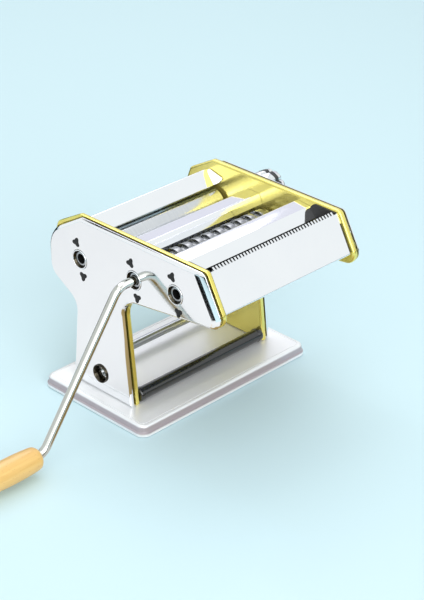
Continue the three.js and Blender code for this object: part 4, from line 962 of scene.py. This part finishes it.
def make_foot_bar():
    """Bar between the legs, a little thicker over the 5 mm at each of its rounded ends."""
    low, high = box("front_foot_bar")
    radius = reach("front_foot_bar")
    profile = [
        (low[0], 0, 0), (low[0], radius, 1.9), (low[0] + 5, radius, 0.3),
        (low[0] + 5.5, radius - 0.5, 0.2), (high[0] - 5.5, radius - 0.5, 0.2),
        (high[0] - 5, radius, 0.3), (high[0], radius, 1.9), (high[0], 0, 0),
    ]
    piece("foot_bar", turned(Shell(), profile, axis_of("front_foot_bar")), "black", nodes=["front_foot_bar"])


# ---------------------------------------------------------------- thickness knob

NOTCHES = 8
NOTCH_DEPTH = 1.9
NOTCH_POWER = 14                  # the higher, the narrower the notches
CUP_DEPTH = 10.4                  # of the hollow in the knob's back
HUB = 5.7
SHADE_BAND = (9, 5)                     # edges of the band painted black for the shade of a gap, from the knob's face
PIN = 1.3                         # radius of the stop pin
PIN_PLACE = 12                    # behind the knob's axis


def make_knob():
    """Fluted cup: its radius dips in eight narrow notches, each a high power of a cosine of the
    angle, and the dips fade out over the face.
    """
    start_x, end_x = FACE + 2.0, box("regulator_knob")[1][0]
    floor = start_x + CUP_DEPTH
    radius = reach("regulator_knob")
    angle = full_turn(192)
    notch = NOTCH_DEPTH * np.abs(np.cos(NOTCHES * angle / 2)) ** NOTCH_POWER
    # x, radius, share of the notch
    profile = np.array([
        (floor, 0, 0), (floor, 13.9, 0), (start_x + 0.4, 14.2, 0), (start_x, 14.6, 0),
        (start_x, radius - 0.8, 1), (start_x + 0.25, radius - 0.25, 1), (start_x + 0.8, radius, 1),
        (end_x - 2.6, radius - 0.3, 1), (end_x - 1.4, radius - 0.6, 1), (end_x - 0.6, radius - 1.3, 0.9),
        (end_x - 0.15, radius - 2.3, 0.7), (end_x, radius - 3.4, 0.3), (end_x, 12.2, 0), (end_x, 11.8, 0),
        (end_x - 0.9, 11.2, 0), (end_x - 1.2, 10.6, 0), (end_x - 1.2, 3.4, 0), (end_x - 1.0, 3.0, 0),
        (end_x - 0.8, 2.4, 0), (end_x - 0.8, 0, 0),
    ])
    fluted = profile[:, 1:2] - profile[:, 2:] * notch
    shell = Shell()
    shell.grid(around_x(profile[:, :1], fluted, KNOB_AXIS, angle), around=True)
    hub = [(start_x, 0, 0), (start_x, HUB, 0.4), (floor, HUB, 0), (floor, 0, 0)]
    turned(shell, hub, KNOB_AXIS, 40)
    pin = [(FACE + 0.6, 0, 0), (FACE + 0.6, PIN, 0.3), (start_x + 12, PIN, 0), (start_x + 12, 0, 0)]
    turned(shell, pin, (KNOB_AXIS[0] + PIN_PLACE, KNOB_AXIS[1]), 20)
    piece("thickness_knob", shell, "knob", "knob", nodes=["regulator_knob"])
    # painted shade: the cup's inside is near-black oxide, for the shade in the knob's hollow back
    shade_hollow = [(start_x + 9, 5.9, 0.2), (start_x + 9, 13.8, 0.4), (start_x + 0.5, 14.05, 0.1),
              (start_x + 0.5, 14.3, 0.1), (start_x + 9.6, 14.1, 0.4), (start_x + 9.6, 5.9, 0.2)]
    piece("knob_shade_hollow", turned(Shell(), shade_hollow, KNOB_AXIS, closed=True), "oxide_and_shade", "knob")
    # painted shade: a black band round the knob, just proud of its flutes, stands for the shade of a gap
    rear, front = (end_x - edge for edge in SHADE_BAND)
    painted_shade_band = np.array([(rear, radius - 1), (rear, radius + 0.12), (front, radius + 0.12), (front, radius - 1)])
    shell = Shell()
    shell.grid(around_x(painted_shade_band[:, :1], painted_shade_band[:, 1:] - notch, KNOB_AXIS, angle), around=True, along=True)
    piece("knob_painted_shade_band", shell, "black", "knob")


# ---------------------------------------------------------------- crank

CRANK_LEAN = radians(35.6)        # of the arm away from the machine
THROW = 124.0
ROD = 4.0                         # radius of the bar
ROD_CHAMFER = 0.6
SHANK = 13.5                      # from the collar to the corner of the first bend
CRANK_BEND = 16
GRIP_LENGTH = 70
GRIP_ROUNDING = 1.1               # length over which the grip's ends fall off


def make_crank():
    """Round bar carried along a line with two smooth bends, in the plane of the middle axis."""
    y, z = DRIVEN["middle"]
    low, high = box("crank_rod")
    first = -(COLLAR + SHANK)
    second = first - THROW * tan(CRANK_LEAN)
    line, heading = rounded([
        (high[0], z, 0), (first, z, CRANK_BEND), (second, z - THROW, CRANK_BEND), (low[0], z - THROW, 0),
    ], closed=False, step=3)
    rings = np.pad(np.arange(len(line)), 2, mode="edge")
    centres = line[rings]
    centres[2] -= (ROD_CHAMFER, 0)
    centres[-3] += (ROD_CHAMFER, 0)
    sideways = left_of(heading)[rings]
    radius = np.full(len(rings), ROD)
    radius[[0, -1]] = 0
    radius[[1, -2]] = ROD - ROD_CHAMFER
    angle = full_turn(40)
    reach_out = radius[:, None] * np.cos(angle)
    shell = Shell()
    shell.grid(np.stack([
        centres[:, :1] + sideways[:, :1] * reach_out,
        y + radius[:, None] * np.sin(angle),
        centres[:, 1:] + sideways[:, 1:] * reach_out,
    ], axis=-1), around=True)
    piece("crank_bar", shell, "nickel", "crank", nodes=["crank_rod"])


def make_grip():
    """Turned grip whose belly follows a sine to the power 0.8, with ends that fall off exponentially
    and a bore for the bar.
    """
    low, high = box("crank_grip")
    share = np.linspace(0, 1, 41)
    belly = 0.74 + 0.26 * np.sin(pi * (1 + 6 * share) / 7) ** 0.8
    ends = (1 - 0.16 * np.exp(-share * GRIP_LENGTH / GRIP_ROUNDING)
            - 0.16 * np.exp(-(1 - share) * GRIP_LENGTH / GRIP_ROUNDING))
    x = high[0] + (low[0] - high[0]) * share
    radius = reach("crank_grip") * belly * ends
    bore = ROD + 0.25
    line = np.concatenate([[(high[0], bore)], np.column_stack([x, radius]), [(low[0], bore)]])
    points = around_x(line[:, :1], line[:, 1:], axis_of("crank_grip"), full_turn(72))
    shell = Shell()
    shell.grid(points, around=True, along=True)
    piece("wooden_grip", shell, "wood", "grip", nodes=["crank_grip"])
    low, high = box("grip_cap_nut")
    profile = [
        (high[0], 0, 0), (high[0], 7.5, 0.3), (high[0] - 1.4, 7.5, 0.5), (high[0] - 2.4, 6.3, 0.8),
        (low[0] + 1.8, 5.6, 2.4), (low[0], 3.2, 1.6), (low[0], 0, 0),
    ]
    shell = turned(Shell(), profile, axis_of("grip_cap_nut"), 56)
    piece("cap_nut", shell, "chrome", "crank", nodes=["grip_cap_nut"])


# ---------------------------------------------------------------- making everything

RIDGES = {"wide": (13.0, 9.9), "fine": (3.6, 9.5)}  # their pitch, and the radius of their grooves
CAD_FINISH = {                    # for the CAD nodes that keep their own meshes
    "_gear": "steel",
    "bearing_block": "steel",
    "_scraper": "steel",
    "thickness_cam": "brass",
    "front_comb": "chrome",
    "regulator_dial": "chrome",
}

make_tray()
make_feet()
for side, hand in (("left", -1), ("right", 1)):
    make_cover(side, hand)
    make_frame(side, hand)
for place, axis in DRIVEN.items():
    make_socket(place, axis)
for pair, (place, axis) in zip(MATES, DRIVEN.items()):
    make_sleeve(place, axis, f"{pair}_drive")
make_eyelet()
make_bushes()
make_roller("smooth_roller_rear", "sheet_drive_roller", "sheet_drive", True)
make_roller("smooth_roller_front", "sheet_adjustable_roller", "sheet_mate", False)
for pair, (pitch, root) in RIDGES.items():
    make_cutter(f"{pair}_cutter_rear", f"{pair}_drive_cutter", f"{pair}_drive", True, pitch, root)
    make_cutter(f"{pair}_cutter_front", f"{pair}_mate_cutter", f"{pair}_mate", False, pitch, root)
make_rear_cover()
make_middle_cover()
make_centre_cover()
make_front_panel()
make_slot_shade_plates()
make_rods()
make_foot_bar()
make_knob()
make_crank()
make_grip()

for name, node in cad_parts.items():
    for part, finish in CAD_FINISH.items():
        if part in name:
            node.data.materials.clear()
            node.data.materials.append(FINISH[finish])

# ---------------------------------------------------------------- floor, light and camera

FLOOR = 6000                      # half width of the floor
BOARD_MIDDLE = 90                 # height from which a board's elevations are reckoned
LAMP_TARGET = (0, -0.04, 0.09)    # the point that the lamps look at, in metres
LAMPS = {                         # azimuth, elevation, distance and size in metres, watts
    "key": (150, 55, 2.2, 1.6, 16),
    "fill": (-60, 42, 2.4, 1.8, 10),
    "low": (-25, 27, 2.6, 1.8, 36),
    "top": (-10, 78, 2.2, 1.8, 10),
}


def even(name, base, **uniform):
    """Even matt finish of a stage board."""
    return start(name, Base_Color=colour(base), **uniform)[0]


def sheet_of(name, corners, finish):
    """Flat four-cornered board from its corners in millimetres."""
    mesh = bpy.data.meshes.new(name)
    mesh.from_pydata((np.array(corners, float) * MM + MIDDLE).tolist(), [], [(0, 1, 2, 3)])
    mesh.materials.append(finish)
    board = bpy.data.objects.new(name, mesh)
    bpy.context.scene.collection.objects.link(board)
    return board


def level(left, right, front, rear, height):
    """Corners of a level rectangle."""
    return [(left, front, height), (right, front, height), (right, rear, height), (left, rear, height)]


def gloss_board(name, corners, finish):
    """Board that is seen in glossy surfaces alone."""
    board = sheet_of(name, corners, finish)
    board.visible_camera = False
    board.visible_diffuse = False
    board.visible_transmission = False
    board.visible_volume_scatter = False
    board.visible_shadow = False


def towards(azimuth, elevation):
    """Unit vector from the machine, azimuth 0 to the front and 90 to the knob's side, in degrees."""
    turn, rise = radians(azimuth), radians(elevation)
    return np.array([sin(turn) * cos(rise), -cos(turn) * cos(rise), sin(rise)])


def upright_board(name, azimuth, width, low, high, distance, finish):
    """Gloss board round the machine: azimuth, width and the elevations of its edges in degrees, and
    its distance in millimetres.
    """
    corners = []
    for side, rise in ((-1, low), (1, low), (1, high), (-1, high)):
        flat = towards(azimuth + side * width / 2, 0) * distance
        corners.append(flat + (0, 0, BOARD_MIDDLE + distance * tan(radians(rise))))
    gloss_board(name, corners, finish)


def make_boards():
    """Black boards that draw the dark edges of the chrome, a pale and a warm one on the floor beside
    and in front of it, and a cool one behind that tints what faces up.
    """
    black = even("black_board", "#101112", Roughness=0.95, Specular_IOR_Level=0.0)
    white = even("white_board", "#e6e7e8", Roughness=0.95)
    warm = even("warm_board", "#a8905a", Roughness=0.95)
    glow = colour("#e6e7f3")
    cool = even("cool_board", "#000000", Roughness=0.95, Emission_Strength=1.0, Emission_Color=glow)
    for azimuth in (0, 30, 60, 90, 120, 150, 240, 270, 300, 330):
        upright_board(f"low_board_{azimuth}", azimuth, 30, -2.2, 5.5, 2400, black)
    upright_board("rear_board", 180, 30, 44, 52, 1800, black)
    upright_board("cool_board", 132, 60, 16, 52, 2400, cool)
    gloss_board("bar_board", [(-150, 290, 4), (120, 290, 4), (120, 290, 140), (-150, 290, 140)], black)
    gloss_board("nose_board", level(-560, -395, -60, 140, 1), black)
    gloss_board("white_board", level(-395, -110, -260, 420, 1), white)
    gloss_board("warm_board", level(-170, 80, -420, -60, 2), warm)


def make_lamp(name, azimuth, elevation, distance, size, energy):
    """Square soft lamp that stands round the machine and looks at it."""
    data = bpy.data.lights.new(name, "AREA")
    data.size = size
    data.energy = energy
    lamp = bpy.data.objects.new(name, data)
    bpy.context.scene.collection.objects.link(lamp)
    direction = towards(azimuth, elevation)
    lamp.location = (MIDDLE + LAMP_TARGET + direction * distance).tolist()
    lamp.rotation_euler = Vector(direction).to_track_quat("Z", "Y").to_euler()


def make_world():
    """Pale studio, half as strong on matt surfaces as it looks, so that the lamps shape them."""
    world = bpy.data.worlds.new("studio")
    bpy.context.scene.world = world
    world.use_nodes = True
    tree = world.node_tree
    tree.nodes.clear()
    path = add(tree, "LightPath").outputs
    seen = path["Is Camera Ray"]
    for kind in ("Is Glossy Ray", "Is Transmission Ray"):
        seen = add(tree, "Math", {0: seen, 1: path[kind]}, operation="MAXIMUM")
    strength = add(tree, "MapRange", {"Value": seen, "To Min": 0.5, "To Max": 1.0})
    back = add(tree, "Background", {"Color": colour("#f7fbfc"), "Strength": strength})
    add(tree, "OutputWorld", {"Surface": back})


def make_camera():
    """Camera that looks down on the crank's side and the front, with a slight roll."""
    data = bpy.data.cameras.new("camera")
    data.sensor_width = 36
    data.lens = 106.67
    data.clip_end = 50
    camera = bpy.data.objects.new("camera", data)
    bpy.context.scene.collection.objects.link(camera)
    direction = towards(-45.43, 28.52)
    target = np.array([-52.1, -95.8, 128.9])
    distance = 1.4827
    roll = Euler((0, 0, radians(0.23))).to_quaternion()
    camera.location = (target * MM + MIDDLE + direction * distance).tolist()
    camera.rotation_euler = (Vector(direction).to_track_quat("Z", "Y") @ roll).to_euler()
    bpy.context.scene.camera = camera


paper = even("pale_seamless_paper", "#cfe9f0", Roughness=0.9)
sheet_of("floor", level(-FLOOR, FLOOR, -FLOOR, FLOOR, 0), paper)
make_boards()
for name, setting in LAMPS.items():
    make_lamp(name, *setting)
make_world()
make_camera()
bpy.context.scene.view_settings.view_transform = "Standard"
